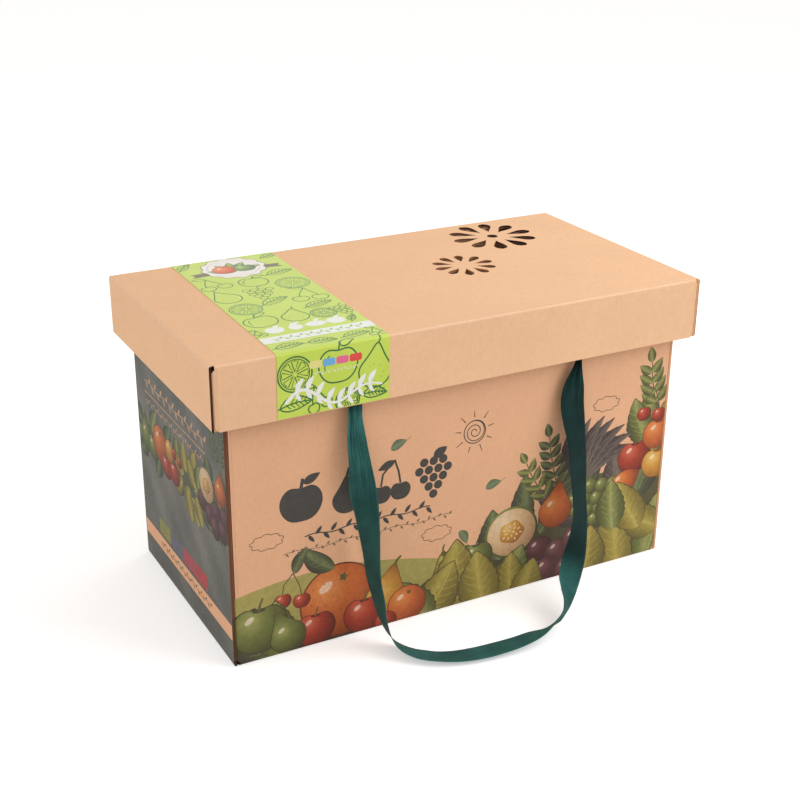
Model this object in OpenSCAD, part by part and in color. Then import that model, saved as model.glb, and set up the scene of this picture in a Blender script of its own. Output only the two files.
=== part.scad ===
// Fruit gift box: a tall folded board tray with a lift-off lid, a paper band glued
// over the lid, and a carrying ribbon that two barbs hold in the front wall.
// Origin: centre of the footprint, on the floor. X runs along the length,
// the front faces -Y, and Z is up.

/* [Base] */
// Outside length of the base, along X
base_l = 376; // [340:1:420]
// Outside width of the base, along Y
base_w = 192; // [175:1:230]
// Height of the base's walls
base_h = 236; // [226:1:280]

/* [Board] */
// Thickness of the corrugated board
board_t = 2; // [1.6:0.1:3]
// Outside radius of a fold in the board
fold_r = 2; // [1.6:0.1:3]
// Space between two layers of board that lie against each other
layer_gap = 0.3; // [0.2:0.05:0.6]
// Reach of the tabs that tie the long walls into the rolled ends
tab_l = 62; // [40:1:75]
// How far the relief at a corner cuts into the long wall
notch_w = 1.6; // [0.6:0.1:3]
// How high the relief at a corner reaches up the wall
notch_h = 3.4; // [2:0.1:6]
// Bevel at the free corners of the long walls
corner_cut = 3; // [0.5:0.1:4]
// How far an end's cut edge stays behind the long wall's face
edge_inset = 0.8; // [0.4:0.1:1.5]

/* [Lid] */
// How far the lid's sides reach down, outside
flange_h = 47; // [42:1:60]
// Space between the base's end and the lid's rolled end
end_clearance = 5.4; // [2:0.1:7]
// Space between the base's long wall and the lid's side, where the ribbon passes
side_clearance = 9; // [6:0.1:12]

/* [Floor locks] */
// Width of the tongues that lock the rolled ends into the base's floor
lock_w = 40; // [20:1:50]
// Distance between the middles of an end's two tongues
lock_pitch = 96; // [80:1:105]
// Space around a tongue in its slot
lock_gap = 0.4; // [0.3:0.05:1]

/* [Large vent] */
// Middle of the large flower, along X
large_x = 117.8; // [105:0.1:130]
// Middle of the large flower, along Y
large_y = 64; // [50:0.5:66]
// Outside radius of the large flower
large_r = 36.8; // [28:0.1:38]
// Radius at which the large flower's petals start
large_root = 12.6; // [11:0.1:15]
// Widest part of a large petal
large_petal_w = 10.8; // [6:0.1:12]
// Radius of the round hole in the middle of the large flower
eye_r = 4.5; // [2.5:0.1:6]

/* [Small vent] */
// Middle of the small flower, along X
small_x = 55.8; // [45:0.1:60]
// Middle of the small flower, along Y
small_y = 5.5; // [-10:0.1:10]
// Outside radius of the small flower
small_r = 25.6; // [18:0.1:28]
// Radius at which the small flower's petals start
small_root = 9; // [7:0.1:11]
// Widest part of a small petal
small_petal_w = 7.4; // [4:0.1:8]

/* [Label band] */
// Width of the paper band, along X
band_w = 84; // [60:1:100]
// Distance from the lid's left end to the band's middle, on the lid's top
band_in = 90.5; // [75:0.5:110]
// How far the band lies askew, in degrees
band_skew = 0.8; // [0:0.1:1.5]
// Thickness of the paper
band_t = 0.3; // [0.2:0.05:0.5]
// Thickness of the glue under the paper
glue_t = 0.05; // [0.02:0.01:0.1]
// How far the band stops short of the lid's lower edge
band_stop = 0.6; // [0.3:0.1:3]

/* [Handle] */
// Width of the ribbon where it lies open
ribbon_w = 20; // [14:1:20]
// Thickness of the ribbon
ribbon_t = 0.6; // [0.4:0.1:0.8]
// Distance between the two holes in a long wall
hole_pitch = 188; // [180:1:196]
// How far the holes' middles lie below the wall's upper edge
hole_drop = 31; // [28:0.5:33]
// Radius of a hole
hole_r = 4; // [3.8:0.1:6]
// Length of a barb's crossbar
barb_l = 30; // [20:1:40]
// Width of a barb's crossbar
barb_w = 6.6; // [6:0.1:7.4]
// Thickness of a barb's crossbar
barb_t = 2.4; // [2:0.1:4]
// Radius of the barb's neck, which grips the gathered ribbon
neck_r = 2.6; // [2:0.1:3.4]

/* [Hidden] */
$fn = 48;

// Petals in each flower
petals = 10;
// Steps along each side of a petal
petal_steps = 12;
// Length by which shapes of one piece run into each other
lap = 12;
// Length by which a cut runs past a surface
over = 1;
// Thickness of a rolled end: outer layer, tab and inner layer
end_t = 3 * board_t + 2 * layer_gap;
// Outside length and width of the lid
lid_l = base_l + 2 * (end_t + end_clearance);
lid_w = base_w + 2 * (board_t + side_clearance);
// Height of the closed box, and of the holes' middles
box_h = base_h + board_t;
hole_z = base_h - hole_drop;
// How far a barb's neck reaches into its hole
neck_l = board_t / 2;

// Ribbon's way from a barb through the hole and down behind the lid's side:
// distance in front of the wall's outer face, height over the hole's middle, share of its width
gather = [
    [neck_l - board_t, 0, 0.3], [1, 0, 0.3], [3.5, -3, 0.3], [5.3, -9, 0.32]
];
// Ribbon's loose way from the left strand over the floor to the right strand: place along X,
// distance in front of the wall, height, share of its width, turn. The heights are those
// of holes at rest_z, and stretch with the holes' own height.
rest_z = 205;
rest = [
    [-93.2, 6, 188, 0.55, 0], [-93.4, 6.5, 179, 0.61, -6], [-93.5, 8.5, 165, 0.73, 0],
    [-92.5, 11.5, 145, 0.85, 4], [-91.5, 13.5, 127, 0.97, 25], [-89.5, 15, 110, 1, 52],
    [-88, 16.5, 92, 1, 66], [-87, 18, 74, 1, 78], [-86, 19.5, 56, 1, 84],
    [-83.5, 22, 39.5, 1, 88], [-82, 25.5, 25, 1, 96], [-79, 31, 13, 1, 103],
    [-74.5, 38.5, 6.5, 1, 106], [-67, 48, 3.5, 1, 102], [-56, 57.5, 2.8, 1, 98],
    [-42, 64, 2.3, 1, 98], [-26, 68, 2.4, 1, 96], [-10, 70, 3, 1, 93],
    [7, 71, 4, 1, 86], [23, 70.5, 5.5, 1, 77], [38, 68.5, 7.3, 1, 69],
    [50, 63.5, 9.3, 1, 65], [57.5, 56.5, 12, 1, 44], [64, 49.5, 16.5, 1, 19],
    [71, 41.5, 23, 1, 0], [78, 35.5, 33.5, 1, -6], [84.5, 31, 48, 1, 9],
    [89, 26.5, 65.5, 1, 23], [90.5, 21.5, 85, 1, 25], [91.5, 16.5, 106, 1, 17],
    [91.5, 12.5, 126, 1, 13], [90, 9.5, 142, 1, 0], [89, 7.5, 156, 1, -5],
    [90, 7, 169, 0.86, -5], [92, 6.5, 179.5, 0.54, -2], [93.8, 6, 188, 0.27, 0]
];
loose = [for (p = rest) [p[0], p[1], p[2] * hole_z / rest_z, p[3], p[4]]];
// Direction that the ribbon never runs in, from which its turn is counted
outward = [0, -1, 0.3];

// Sliver outside a rounded corner that lies at the origin, its material in +X +Y
module outer_round(r) {
    difference() {
        translate([-over, -over]) square(r + over);
        translate([r, r]) circle(r);
    }
}

// Section through one fold: a panel along X and a wall up Y, round outside
module fold_section(panel, wall) {
    difference() {
        union() {
            square([panel, board_t]);
            square([board_t, wall]);
        }
        outer_round(fold_r);
    }
}

// Section through a rolled end: up the outer layer, over the top and down inside
module roll_section(h) {
    difference() {
        union() {
            square([end_t + lap, board_t]);
            square([board_t, h]);
            translate([0, h - board_t]) square([end_t, board_t]);
            translate([end_t - board_t, board_t + layer_gap])
                square([board_t, h - board_t - layer_gap]);
        }
        outer_round(fold_r);
        translate([0, h]) rotate(-90) outer_round(fold_r);
        translate([end_t, h]) rotate(180) outer_round(fold_r);
    }
}

// Section through a rolled end's outer layer alone
module face_section(h) {
    difference() {
        square([board_t, h]);
        outer_round(fold_r);
        translate([0, h]) rotate(-90) outer_round(fold_r);
    }
}

// One rolled end of a tray, at +X
module rolled_end(l, w, h) {
    translate([l / 2, 0, 0]) mirror([1, 0, 0]) rotate([90, 0, 0]) {
        linear_extrude(w - 2 * (board_t + layer_gap), center = true) roll_section(h);
        linear_extrude(w - 2 * edge_inset, center = true) face_section(h);
    }
}

// One long wall of a tray, at +Y, with its share of the floor and its two tabs
module long_side(l, w, h) {
    tab_x = l / 2 - board_t - layer_gap;
    difference() {
        union() {
            rotate([90, 0, 90]) linear_extrude(2 * (tab_x - notch_w), center = true)
                translate([w / 2, 0]) mirror([1, 0]) fold_section(w / 2 + lap, h);
            for (side = [0, 1]) mirror([side, 0, 0]) translate([tab_x, w / 2, notch_h])
                rotate([0, 0, 180]) {
                    linear_extrude(h - board_t - layer_gap - notch_h)
                        fold_section(lap, tab_l);
                    linear_extrude(h - notch_h) fold_section(lap, board_t);
                }
        }
        for (side = [0, 1]) mirror([side, 0, 0])
            translate([tab_x, w / 2 - board_t / 2, h]) rotate([0, 45, 0])
                cube([corner_cut * sqrt(2), board_t + over, corner_cut * sqrt(2)], center = true);
    }
}

// A tray folded from one sheet, open above
module tray(l, w, h) {
    for (side = [0, 1]) {
        mirror([side, 0, 0]) rolled_end(l, w, h);
        mirror([0, side, 0]) long_side(l, w, h);
    }
}

// Places a slot or a tongue, with the space around it, at both locks of both ends
module at_locks(space) {
    for (side = [0, 1]) mirror([side, 0, 0])
        for (y = [-lock_pitch / 2, lock_pitch / 2])
            translate([base_l / 2 - end_t - space, y - lock_w / 2 - space, 0]) children();
}

// The base's folded sheet, its rolled ends locked into the floor
module base_tray() {
    color([0.9, 0.7, 0.55]) union() {
        difference() {
            tray(base_l, base_w, base_h);
            at_locks(lock_gap) translate([0, 0, -over])
                cube([board_t + 2 * lock_gap, lock_w + 2 * lock_gap, board_t + layer_gap + over]);
            for (x = [-hole_pitch / 2, hole_pitch / 2])
                translate([x, base_w / 2 + over, hole_z]) rotate([90, 0, 0])
                    cylinder(h = base_w + 2 * over, r = hole_r);
        }
        at_locks(0) cube([board_t, lock_w, board_t + layer_gap + over]);
    }
}

// Half the width of a petal at a share s of its length
function petal_half(w, s) = w / 2 * pow(sin(180 * s * s), 0.6);

// Outline of one petal along +X
function petal(root, r, w) = concat(
    [for (i = [0 : petal_steps]) let (s = i / petal_steps)
        [root + (r - root) * s, i == 0 || i == petal_steps ? 0 : -petal_half(w, s)]],
    [for (i = [petal_steps - 1 : -1 : 1]) let (s = i / petal_steps)
        [root + (r - root) * s, petal_half(w, s)]]
);

// A ring of petals as a cutter
module flower(root, r, w) {
    for (i = [0 : petals - 1]) rotate([0, 0, i * 360 / petals])
        linear_extrude(board_t + 2 * over) polygon(petal(root, r, w));
}

// The lid's folded sheet, open below, with its two flower vents
module lid_tray() {
    color([0.93, 0.75, 0.6]) difference() {
        translate([0, 0, box_h]) mirror([0, 0, 1]) tray(lid_l, lid_w, flange_h);
        translate([large_x, large_y, base_h - over]) {
            flower(large_root, large_r, large_petal_w);
            cylinder(h = board_t + 2 * over, r = eye_r);
        }
        translate([small_x, small_y, base_h - over])
            flower(small_root, small_r, small_petal_w);
    }
}

// Middle of the band along X, at a distance v along the band, in front of the lid's middle
function band_mid(v) = band_in - lid_l / 2 - v * tan(band_skew);

// A stretch of the band from v0 to v1, drawn in X and height, where v0 lies at y0 and v1 at y1
module band_stretch(v0, v1, y0, y1) {
    polygon([
        [band_mid(v0) - band_w / 2, y0], [band_mid(v0) + band_w / 2, y0],
        [band_mid(v1) + band_w / 2, y1], [band_mid(v1) - band_w / 2, y1]
    ]);
}

// The paper band over the lid's top, round both folds and down both sides
module label_band() {
    fold_v = lid_w / 2 - fold_r;
    side_v = fold_v + PI * fold_r / 2;
    drop = flange_h - fold_r - band_stop;
    color([0.65, 0.85, 0.25]) union() {
        translate([0, 0, box_h + glue_t]) linear_extrude(band_t)
            band_stretch(-fold_v, fold_v, fold_v, -fold_v);
        for (front = [-1, 1]) {
            translate([band_mid(front * (fold_v + side_v) / 2), -front * fold_v, box_h - fold_r])
                mirror([0, front > 0 ? 1 : 0, 0]) rotate([90, 0, 90])
                    linear_extrude(band_w, center = true) intersection() {
                        difference() {
                            circle(fold_r + glue_t + band_t);
                            circle(fold_r + glue_t);
                        }
                        square(2 * fold_r);
                    }
            translate([0, -front * (lid_w / 2 + glue_t + band_t / 2), box_h - fold_r])
                rotate([90, 0, 0]) linear_extrude(band_t, center = true)
                    band_stretch(front * side_v, front * (side_v + drop), 0, -drop);
        }
    }
}

function unit(v) = v / norm(v);

// The ribbon's first stretch on one side, in the form of the loose way
function lead(side) = [for (g = gather) [side * hole_pitch / 2, g[0], hole_z + g[1], g[2], 0]];
function turned_round(list) = [for (i = [len(list) - 1 : -1 : 0]) list[i]];

// The whole way from barb to barb, and its places in the part's frame
way = concat(lead(-1), loose, turned_round(lead(1)));
place = [for (p = way) [p[0], -base_w / 2 - p[1], p[2]]];

// One ring of the ribbon: a flat eight-sided section across the way
function ring(i) =
    let (
        last = len(way) - 1,
        along = unit(place[min(i + 1, last)] - place[max(i - 1, 0)]),
        flat = unit(cross(along, outward)),
        side = cross(along, flat),
        turn = way[i][4],
        wide = cos(turn) * flat + sin(turn) * side,
        thick = cross(along, wide),
        w = way[i][3] * ribbon_w / 2,
        t = ribbon_t / way[i][3] / 2
    )
    [for (c = [[w, -t / 2], [w, t / 2], [w - t, t], [t - w, t],
               [-w, t / 2], [-w, -t / 2], [t - w, -t], [w - t, -t]])
        place[i] + c[0] * wide + c[1] * thick];

// The woven ribbon, gathered at both ends and twisted on its way over the floor
module ribbon_handle() {
    sides = 8;
    rings = len(way);
    points = [for (i = [0 : rings - 1]) each ring(i)];
    skin = [for (i = [0 : rings - 2]) for (j = [0 : sides - 1])
        let (a = i * sides + j, b = i * sides + (j + 1) % sides)
        each [[a, a + sides, b], [b, a + sides, b + sides]]];
    caps = [
        [for (j = [0 : sides - 1]) j],
        [for (j = [sides - 1 : -1 : 0]) (rings - 1) * sides + j]
    ];
    color([0.12, 0.28, 0.25]) polyhedron(points = points, faces = concat(skin, caps));
}

// Moulded barb: a crossbar on the wall's inner face and a neck in its hole
module handle_barb(x) {
    color([0.9, 0.9, 0.86]) translate([x, board_t - base_w / 2, hole_z]) union() {
        rotate([-90, 0, 0]) linear_extrude(barb_t) {
            square([barb_l - barb_w, barb_w], center = true);
            for (side = [-1, 1]) translate([side * (barb_l - barb_w) / 2, 0]) circle(barb_w / 2);
        }
        rotate([90, 0, 0]) cylinder(h = neck_l, r = neck_r);
    }
}

base_tray();
lid_tray();
label_band();
ribbon_handle();
handle_barb(-hole_pitch / 2);  // handle_barb_left
handle_barb(hole_pitch / 2);  // handle_barb_right
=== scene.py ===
# %% [markdown]
# # A fruit gift box
# The box is folded from printed corrugated board. Its lid lifts off, a gloss paper band runs
# over the lid, and a woven ribbon hangs on the front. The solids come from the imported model,
# which holds every dimension. This script adds what makes them look like board, paper, ink
# and ribbon.

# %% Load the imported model
import math

import bpy
from mathutils import Matrix, Vector, geometry


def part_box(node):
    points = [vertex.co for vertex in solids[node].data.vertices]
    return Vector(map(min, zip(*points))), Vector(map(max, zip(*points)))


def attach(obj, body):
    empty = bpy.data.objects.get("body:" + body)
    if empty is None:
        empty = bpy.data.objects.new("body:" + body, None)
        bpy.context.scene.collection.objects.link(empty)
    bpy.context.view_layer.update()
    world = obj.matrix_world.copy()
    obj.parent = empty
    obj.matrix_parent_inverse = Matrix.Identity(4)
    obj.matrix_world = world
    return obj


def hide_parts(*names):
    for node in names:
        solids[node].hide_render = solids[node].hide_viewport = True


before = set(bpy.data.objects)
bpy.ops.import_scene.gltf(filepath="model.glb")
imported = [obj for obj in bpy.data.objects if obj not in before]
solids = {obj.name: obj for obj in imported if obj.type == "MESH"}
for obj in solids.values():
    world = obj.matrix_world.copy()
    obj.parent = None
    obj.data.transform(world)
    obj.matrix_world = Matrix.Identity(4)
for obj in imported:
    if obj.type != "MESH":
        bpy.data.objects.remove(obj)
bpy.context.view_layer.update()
MM = 0.001
print("solids:", sorted(solids))

# %% [markdown]
# ## The camera
# A camera needs a place, a direction and a lens. These come from lines on the box whose
# lengths are known: its corners were matched until all of them fell where they should.
# The lens is worked out for a square picture 800 pixels wide.

# %% The camera
FOCAL_PIXELS = 1391.4
CAMERA_PLACE = Vector((-0.4830, -0.8949, 0.5692))
YAW, PITCH, ROLL = (math.radians(angle) for angle in (28.188, 23.091, 0.35))

ahead = Vector((math.sin(YAW) * math.cos(PITCH), math.cos(YAW) * math.cos(PITCH), -math.sin(PITCH)))
level = Vector((math.cos(YAW), -math.sin(YAW), 0))
upward = level.cross(ahead)
right = math.cos(ROLL) * level + math.sin(ROLL) * upward
top = -math.sin(ROLL) * level + math.cos(ROLL) * upward

camera_data = bpy.data.cameras.new("camera")
camera_data.sensor_width = 36
camera_data.lens = camera_data.sensor_width * FOCAL_PIXELS / 800
camera = bpy.data.objects.new("camera", camera_data)
bpy.context.scene.collection.objects.link(camera)
camera.matrix_world = Matrix.Translation(CAMERA_PLACE) @ Matrix((right, top, -ahead)).transposed().to_4x4()
bpy.context.scene.camera = camera
print("lens in mm:", round(camera_data.lens, 2))

# %% [markdown]
# ## The ribbon
# The handle is a woven ribbon 20 mm wide. Each end is gathered into a small hole in the front
# wall, and the loose middle turns over once as it lies on the floor. A flat ribbon could be a
# curve with a flat profile, but its turning and its gathers are easier to hold when each
# cross-section is given one by one: the place of each section in millimetres, its width, and
# how far it is turned. The cloth has the solid's route, within about a millimetre. Near the
# floor on the right it turns over more sharply than the solid does.

# %% The ribbon's route
WALL_Y = -96
ROUTE = [
    (-94, -1, 205, 6, 0), (-94, 1, 205, 6, 0), (-94, 3.5, 202, 6, 0),
    (-94, 5.3, 196, 6.4, 0), (-93.2, 6, 188, 11, 0), (-93.4, 6.5, 179, 12.2, -6),
    (-93.5, 8.5, 165, 14.6, 0), (-92.5, 11.5, 145, 17, 4), (-91.5, 13.5, 127, 19.4, 25),
    (-89.5, 15, 110, 20, 52), (-88, 16.5, 92, 20, 66), (-87, 18, 74, 20, 78),
    (-86, 19.5, 56, 20, 84), (-83.5, 22, 39.5, 20, 88), (-82, 25.5, 25, 20, 96),
    (-79, 31, 13, 20, 103), (-74.5, 38.5, 6.5, 20, 106), (-67, 48, 3.5, 20, 102),
    (-56, 57.5, 2.8, 20, 98), (-42, 64, 2.3, 20, 98), (-26, 68, 2.4, 20, 99),
    (-10, 70, 3, 20, 98), (7, 71, 4, 20, 94), (23, 70.5, 5.8, 20, 86),
    (38, 68.5, 8.2, 20, 62), (50, 63.5, 10.6, 20, 44), (57.5, 56.5, 12.8, 20, 32),
    (64, 49.5, 16.8, 20, 17), (71, 41.5, 23, 20, 0), (78, 35.5, 33.5, 20, -6),
    (84.5, 31, 48, 20, 9), (89, 26.5, 65.5, 20, 23), (90.5, 21.5, 85, 20, 25),
    (91.5, 16.5, 106, 20, 17), (91.5, 12.5, 126, 20, 13), (90, 9.5, 142, 20, 0),
    (89, 7.5, 156, 20, -5), (90, 7, 169, 17.2, -5), (92, 6.5, 179.5, 10.8, -2),
    (93.8, 6, 188, 5.4, 0), (94, 5.3, 196, 6.4, 0), (94, 3.5, 202, 6, 0),
    (94, 1, 205, 6, 0), (94, -1, 205, 6, 0),
]
AWAY = Vector((0, -1, 0.3)).normalized()


def smooth_between(a, b, c, d, share):
    """A point between b and c on the smooth curve through a, b, c and d."""
    return 0.5 * (
        2 * b + (c - a) * share + (2 * a - 5 * b + 4 * c - d) * share ** 2
        + (3 * b - a - 3 * c + d) * share ** 3
    )


def fine_route(route, steps):
    """The route with more sections, as (place in mm, width, turn) of each."""
    rows = [(x, WALL_Y - out, z, width, turn) for x, out, z, width, turn in route]
    fine = []
    for i in range(len(rows) - 1):
        near = [rows[max(i - 1, 0)], rows[i], rows[i + 1], rows[min(i + 2, len(rows) - 1)]]
        for step in range(steps):
            fine.append([smooth_between(*column, step / steps) for column in zip(*near)])
    fine.append(list(rows[-1]))
    return [(Vector(row[:3]), row[3], row[4]) for row in fine]


sections = fine_route(ROUTE, 6)
ribbon_length = sum((b[0] - a[0]).length for a, b in zip(sections, sections[1:]))
print("ribbon sections:", len(sections), "length in mm:", round(ribbon_length, 1))

# %% [markdown]
# Across its width the ribbon is flat where it is free. Where it is gathered, the same 20 mm
# of cloth has to fit into less room, so it stands in small pleats. Each section is therefore
# a wave whose height grows as the width shrinks. The cloth coordinates, one across and one
# along, are stored as a UV map, so that the weave follows the cloth through every turn.

# %% Weave the ribbon
RIBBON_WIDTH = 20
RIBBON_THICK = 0.5
ACROSS = 20


def pleat(share, width, along):
    """How far the cloth stands off its middle plane, in mm, at a share across from -1 to 1."""
    spare = max(0.0, 1 - width / RIBBON_WIDTH)
    height = min(1.25, 2.6 * spare)
    lean = 0.35 * math.sin(along * 0.045)
    return height * math.cos(math.pi * (2.6 * share + lean)) * (1 - 0.35 * share * share)


def weave_ribbon(sections):
    """A closed cloth of two faces, with UV across and along it in units of its width."""
    count = len(sections)
    sheets = ([], [])
    cloth = []
    along = 0.0
    for i, (place, width, turn) in enumerate(sections):
        before, after = sections[max(i - 1, 0)][0], sections[min(i + 1, count - 1)][0]
        heading = (after - before).normalized()
        flat = heading.cross(AWAY).normalized()
        side = heading.cross(flat)
        angle = math.radians(turn)
        wide = math.cos(angle) * flat + math.sin(angle) * side
        thick = heading.cross(wide)
        along += (place - sections[max(i - 1, 0)][0]).length
        for j in range(ACROSS + 1):
            share = 2 * j / ACROSS - 1
            edge = 1 - max(0.0, abs(share) - 0.9) * 4
            middle = place + wide * (share * width / 2) + thick * pleat(share, width, along)
            for sheet, way in zip(sheets, (1, -1)):
                sheet.append((middle + thick * (way * edge * RIBBON_THICK / 2)) * MM)
            cloth.append(((share + 1) / 2, along / RIBBON_WIDTH))
    row = ACROSS + 1
    total = count * row
    faces = []
    for i in range(count - 1):
        for j in range(ACROSS):
            a, b = i * row + j, (i + 1) * row + j
            faces.append((a, a + 1, b + 1, b))
            faces.append((total + a, total + b, total + b + 1, total + a + 1))
        for j, flip in ((0, False), (ACROSS, True)):
            a, b = i * row + j, (i + 1) * row + j
            quad = (a, b, total + b, total + a)
            faces.append(quad[::-1] if flip else quad)
    for i, flip in ((0, False), (count - 1, True)):
        for j in range(ACROSS):
            a = i * row + j
            quad = (a, total + a, total + a + 1, a + 1)
            faces.append(quad[::-1] if flip else quad)
    mesh = bpy.data.meshes.new("ribbon")
    mesh.from_pydata(sheets[0] + sheets[1], [], faces)
    layer = mesh.uv_layers.new(name="cloth")
    for loop in mesh.loops:
        layer.data[loop.index].uv = cloth[loop.vertex_index % total]
    mesh.shade_smooth()
    piece = bpy.data.objects.new("ribbon", mesh)
    bpy.context.scene.collection.objects.link(piece)
    return piece


ribbon = weave_ribbon(sections)
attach(ribbon, "base")
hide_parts("ribbon_handle")
[place * MM for place, width, turn in sections]
print("ribbon faces:", len(ribbon.data.polygons))

# %% [markdown]
# ## A small language for finishes
# Blender's materials are graphs of nodes. Wiring them one by one is slow to read, so two small
# classes do it here. A `Shade` wraps one output of a node and lets sums and products be
# written as in arithmetic. A `Finish` holds one material and adds every other kind of node
# through a single method, which takes the node's type, its settings and its inputs.

# %% Arithmetic on shader values
class Shade:
    """One output of a shader node, with arithmetic that adds Math nodes."""

    def __init__(self, finish, socket):
        self.finish = finish
        self.socket = socket

    def math(self, operation, *others):
        values = dict(enumerate((self, *others)))
        return self.finish.add("ShaderNodeMath", {"operation": operation}, values)

    def __add__(self, other):
        return self.math("ADD", other)

    def __sub__(self, other):
        return self.math("SUBTRACT", other)

    def __rsub__(self, other):
        return self.math("MULTIPLY_ADD", -1.0, other)

    def __mul__(self, other):
        return self.math("MULTIPLY", other)

    def __gt__(self, other):
        return self.math("GREATER_THAN", other)

    def __lt__(self, other):
        return self.math("LESS_THAN", other)

    __radd__ = __add__
    __rmul__ = __mul__

    def size(self):
        return self.math("ABSOLUTE")

    def either(self, other):
        return self.math("MAXIMUM", other)

    def wave(self, length):
        """A sine along this distance, from -1 to 1, that repeats after the length in metres."""
        return (self * (2 * math.pi / length)).math("SINE")

    def stretch(self, low, high, start=0.0, end=1.0):
        """Maps low to start and high to end, held at both."""
        values = {"Value": self, "From Min": low, "From Max": high, "To Min": start, "To Max": end}
        return self.finish.add("ShaderNodeMapRange", {"clamp": True}, values, "Result")


class Finish:
    """One material, with a single method that adds a node to it."""

    def __init__(self, name):
        self.material = bpy.data.materials.new(name)
        self.material.use_nodes = True
        self.tree = self.material.node_tree
        self.tree.nodes.clear()

    def add(self, kind, settings=None, values=None, output=0):
        node = self.tree.nodes.new(kind)
        for name, value in (settings or {}).items():
            setattr(node, name, value)
        for name, value in (values or {}).items():
            places = list(node.inputs)
            found = [s for s in places if name in (s.identifier, s.name)]
            place = places[name] if isinstance(name, int) else found[0]
            if isinstance(value, Shade):
                self.tree.links.new(value.socket, place)
            else:
                place.default_value = value
        outputs = {s.identifier: s for s in reversed(node.outputs)}
        outputs.update({s.name: s for s in reversed(node.outputs)})
        return Shade(self, node.outputs[output] if isinstance(output, int) else outputs[output])

    def place(self):
        return self.add("ShaderNodeTexCoord", output="Object")

    def parts(self, vector):
        return [self.add("ShaderNodeSeparateXYZ", None, {0: vector}, axis) for axis in "XYZ"]

    def scaled(self, vector, scale, turn=(0, 0, 0)):
        return self.add("ShaderNodeMapping", None, {"Vector": vector, "Scale": scale, "Rotation": turn})

    def noise(self, vector, scale, detail=2.0, output="Fac"):
        values = {"Vector": vector, "Scale": scale, "Detail": detail}
        return self.add("ShaderNodeTexNoise", None, values, output)

    def blend(self, factor, first, second, how="MIX"):
        """Mixes two colours, each a tuple of linear values or a colour output."""
        values = {"Factor_Float": factor, "A_Color": first, "B_Color": second}
        return self.add("ShaderNodeMix", {"data_type": "RGBA", "blend_type": how}, values, "Result_Color")

    def grey(self, value):
        """A grey colour of this value, to multiply a colour by."""
        return self.add("ShaderNodeCombineColor", None, {0: value, 1: value, 2: value})

    def relief(self, height, depth, strength=1.0, under=None):
        values = {"Height": height, "Distance": depth, "Strength": strength}
        if under is not None:
            values["Normal"] = under
        return self.add("ShaderNodeBump", None, values)

    def surface(self, **values):
        """The Principled shader, with its sockets named in words, wired to the output."""
        named = {name.replace("_", " "): value for name, value in values.items()}
        shader = self.add("ShaderNodeBsdfPrincipled", None, named)
        out = self.tree.nodes.new("ShaderNodeOutputMaterial")
        self.tree.links.new(shader.socket, out.inputs["Surface"])
        return self.material


def tint(red, green, blue):
    """A colour written as on a screen, from 0 to 255, as the linear values that shaders use."""
    spread = [value / 255 for value in (red, green, blue)]
    return tuple(v / 12.92 if v <= 0.04045 else ((v + 0.055) / 1.055) ** 2.4 for v in spread) + (1.0,)


def wear(piece, material):
    """Puts one material on a piece."""
    piece.data.materials.clear()
    piece.data.materials.append(material)


print("kraft in linear values:", [round(v, 3) for v in tint(236, 190, 148)[:3]])

# %% [markdown]
# ## Kraft board
# The outer sheet of the board is brown kraft paper. It is matt, slightly cloudy, and full of
# short fibres, with a few darker flecks. The flutes under it show as very faint stripes. Where
# the board is cut, one looks into the flutes, and the edge is painted dark as their shade, and
# paler where light would fall on it. Along each fold runs a painted highlight, with a line of
# painted shade in the crease beside it. All of this is painted from the place on the box, in
# metres, so that it keeps its real scale.

# %% Kraft paper
FLUTE = 3.4
RIGHT_END = 180 * MM
LAST_LINE = 199.2 * MM


def kraft_paper(finish, place, colour, flute_axis):
    """The colour of bare kraft paper and the height of its surface."""
    x, y = finish.parts(place)[:2]
    cloud = finish.noise(place, 22, 3).stretch(0.3, 0.7, 0.98, 1.02)
    cloud = cloud * finish.noise(place, 240, 3).stretch(0.3, 0.7, 0.972, 1.028)
    fibres = finish.noise(finish.scaled(place, (2600, 700, 700), (0.3, 0.2, 0.6)), 1, 2)
    crossing = finish.noise(finish.scaled(place, (700, 2600, 2600), (0.1, 0.4, 0.2)), 1, 2)
    grain = (fibres + crossing).stretch(0.6, 1.4, 0.93, 1.07)
    flecks = finish.noise(place, 1500, 1).stretch(0.74, 0.8, 1.0, 0.86)
    stripes = {"x": x, "y": y}[flute_axis].wave(FLUTE * MM)
    shade = cloud * grain * flecks * (1 + stripes * 0.004)
    height = fibres * 0.6 + stripes * 0.12
    return finish.blend(1.0, colour, finish.grey(shade), "MULTIPLY"), height


def facing(finish):
    """How far the surface faces along each axis of the box."""
    return finish.parts(finish.add("ShaderNodeTexCoord", output="Normal"))


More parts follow.
